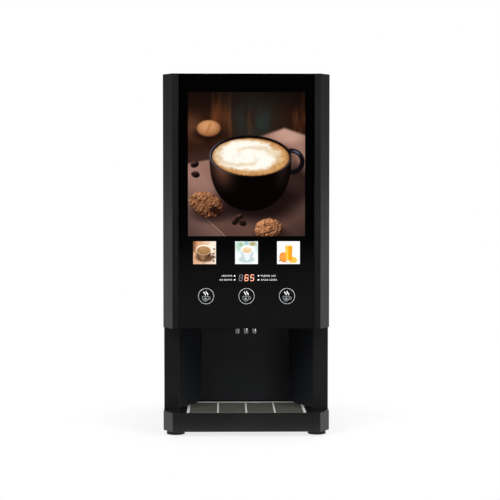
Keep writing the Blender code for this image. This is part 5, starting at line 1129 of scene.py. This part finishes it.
# ---- Mains inlet, switch, fan and boards ----
# On the rear panel sit a mains socket with a rocker switch and a small axial fan behind its slots.
# Lacquered glass-fibre boards carry the controls and, in the door, the digits and button switches.
# Glass-filled nylon: hard, black and even, a little glossier than the case.
nylon_black = finish("glass_filled_nylon", ("#0d0d0e", "#151516"), (0.28, 0.38), 0.7, 0.014)
# Green solder lacquer over copper: glossy, with a faint relief of the tracks under it.
lacquered_board = finish("lacquered_circuit_board", ("#0c2f1c", "#14452a"), (0.22, 0.34), 2.2, 0.02, drift=6)
own("mains_inlet_housing", "power_inlet", 0.0004, nylon_black, "cabinet", "black_moulding")
own("rocker", "power_switch", 0.0003, nylon_black, "power_switch", "black_moulding")
own("fan_housing", "fan_frame", 0.0004, nylon_black, "cabinet", "black_moulding")
own("fan_wheel", "fan_rotor", 0.0003, nylon_black, "fan_rotor", "black_moulding")
own("controller", "control_board", 0.0003, lacquered_board, "cabinet", "circuit_board")
own("display_electronics", "display_board", 0.0003, lacquered_board, "door", "circuit_board")

low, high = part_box("power_inlet")
inlet_x = (low.x + high.x) / 2
PIN_ROOT, PIN_TIP, SOCKET_MIDDLE = low.y + 0.0025, high.y - 0.006, low.z + 0.016
pins = bmesh.new()
for across, rise in ((-0.0070, -0.0020), (0.0070, -0.0020), (0.0, 0.0040)):
    corner = Matrix.Translation((inlet_x + across, (PIN_ROOT + PIN_TIP) / 2, SOCKET_MIDDLE + rise))
    bmesh.ops.create_cube(pins, size=1, matrix=corner @ Matrix.Diagonal((0.0020, PIN_TIP - PIN_ROOT, 0.0040, 1)))
piece("mains_pins", bevelled(pins, 0.0005), motor_steel, "cabinet", "chrome")

# The two halves of the rocker lean apart, and each carries its printed sign.
ROCKER_TILT, HALF_RISE, HALF_LENGTH = math.radians(8), 0.0012, 0.009
HALF_LEAN = math.atan2(HALF_RISE, HALF_LENGTH)
rocker_axis = Vector((inlet_x, high.y - 0.006, 0.1145))
on_mark = plate([[(-0.0004, -0.0018), (0.0004, -0.0018), (0.0004, 0.0018), (-0.0004, 0.0018)]], INK)
off_mark = plate([round_line((0, 0), 0.0019, 32), round_line((0, 0), 0.0013, 32)], INK)
for label, mark, rise, lean in (("on", on_mark, 0.0050, -HALF_LEAN), ("off", off_mark, -0.0050, HALF_LEAN)):
    out = Matrix.Translation((0, 0.0018 + abs(rise) * HALF_RISE / HALF_LENGTH, rise))
    tilt = Matrix.Translation(rocker_axis) @ Matrix.Rotation(-ROCKER_TILT, 4, "X")
    mark.transform(tilt @ out @ Matrix.Rotation(lean, 4, "X"))
    # the signs are white print with a faint painted glow
    piece(f"rocker_mark_{label}", mark, white_ink_painted_glow, "power_switch", "white_plastic")


# ---- Inside of the door and the lock ----
# A coated sheet closes the door's rear over the white light box. The cam lock is turned brass under
# chromium plating, with a keyhole, and its cam hooks behind the keeper on the sheet.
# White reflector plastic: even and matt, so that it spreads the light.
light_box_plastic = finish("white_reflector_plastic", ("#e4e5e3", "#f0f0ee"), (0.45, 0.6), 1.5, 0.01)
own("door_rear_sheet", "door_back_plate", 0.0003, powder_coat, "door", "black_paint")
own("light_box_tray", "light_box", 0.0004, light_box_plastic, "door", "white_plastic")
own("lock_sleeve", "lock_barrel", 0.0003, chrome, "cabinet", "chrome")
own("lock_key_plug", "lock_plug", 0.0003, chrome, "lock_plug", "chrome")


# ---- Screws ----
# Pan-head machine screws with cross recesses hold the rear panel, the fan and the door's rear sheet,
# and nearly flush ones hold the side panels. They are steel, blackened by oxide.
numbers = {"Count": "Int", "First": "Vector", "Pitch": "Vector", "Turn": "Vector", "Radius": "Float"}
tree, given, last = node_shape("screw_row", {**numbers, "Height": "Float"})
crown, long_side, short_side = (maths(tree, "MULTIPLY", given["Radius"], share) for share in (0.76, 1.05, 0.26))
head = {"Vertices": 28, "Radius Top": crown, "Radius Bottom": given["Radius"], "Depth": given["Height"]}
head = add(tree, "GeometryNodeMeshCone", head)
lift = add(tree, "CombineXYZ", {2: given["Height"]})
for first, second, share in ((long_side, short_side, 1.0), (short_side, long_side, 1.1)):
    size = add(tree, "CombineXYZ", {0: first, 1: second, 2: maths(tree, "MULTIPLY", given["Height"], share)})
    bar = add(tree, "GeometryNodeMeshCube", {"Size": size})
    bar = add(tree, "GeometryNodeTransform", {"Geometry": bar, "Translation": lift})
    cut = {0: head, 1: bar}
    head = add(tree, "GeometryNodeMeshBoolean", cut, operation="DIFFERENCE", solver="EXACT")
row_of(tree, given, last, head, given["Turn"])

# Black oxide on steel: dark grey metal with a soft gleam on its edges.
black_oxide = finish("black_oxide_steel", ("#35373a", "#4a4d50"), (0.30, 0.42), 0.8, 0.004, Metallic=1.0)
BACKWARD, LEFTWARD, RIGHTWARD = (-math.pi / 2, 0, 0), (0, -math.pi / 2, 0), (0, math.pi / 2, 0)
rear_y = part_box("rear_panel")[1].y
side_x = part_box("right_side_panel")[1].x
sheet_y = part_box("door_back_plate")[0].y + 0.0015
low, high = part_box("fan_frame")
FAN_INSET, FAN_PITCH = 0.005, (0.050, 0, 0)
REAR_HEAD, FAN_HEAD, SIDE_HEAD, DOOR_HEAD = (0.0034, 0.0018), (0.0028, 0.0016), (0.0034, 0.0005), (0.0030, 0.0004)
fan_x = low.x + FAN_INSET
for name, first, pitch, count, turn, (radius, height), body in (
    ("rear_screws_left", (-0.1385, rear_y, 0.030), (0, 0, 0.148), 5, BACKWARD, REAR_HEAD, "cabinet"),
    ("rear_screws_right", (0.1385, rear_y, 0.030), (0, 0, 0.148), 5, BACKWARD, REAR_HEAD, "cabinet"),
    ("fan_screws_lower", (fan_x, rear_y, low.z + FAN_INSET), FAN_PITCH, 2, BACKWARD, FAN_HEAD, "cabinet"),
    ("fan_screws_upper", (fan_x, rear_y, high.z - FAN_INSET), FAN_PITCH, 2, BACKWARD, FAN_HEAD, "cabinet"),
    ("side_screws_left", (-side_x, -0.100, 0.060), (0, 0.130, 0), 3, LEFTWARD, SIDE_HEAD, "cabinet"),
    ("side_screws_right", (side_x, -0.100, 0.060), (0, 0.130, 0), 3, RIGHTWARD, SIDE_HEAD, "cabinet"),
    ("door_screws_left", (-0.118, sheet_y, 0.230), (0, 0, 0.128), 4, BACKWARD, DOOR_HEAD, "door"),
    ("door_screws_right", (0.122, sheet_y, 0.230), (0, 0, 0.128), 4, BACKWARD, DOOR_HEAD, "door"),
):
    sizes = {"Count": count, "First": first, "Pitch": pitch, "Turn": turn, "Radius": radius, "Height": height}
    grown(name, tree, sizes, black_oxide, body, "steel")


low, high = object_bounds()
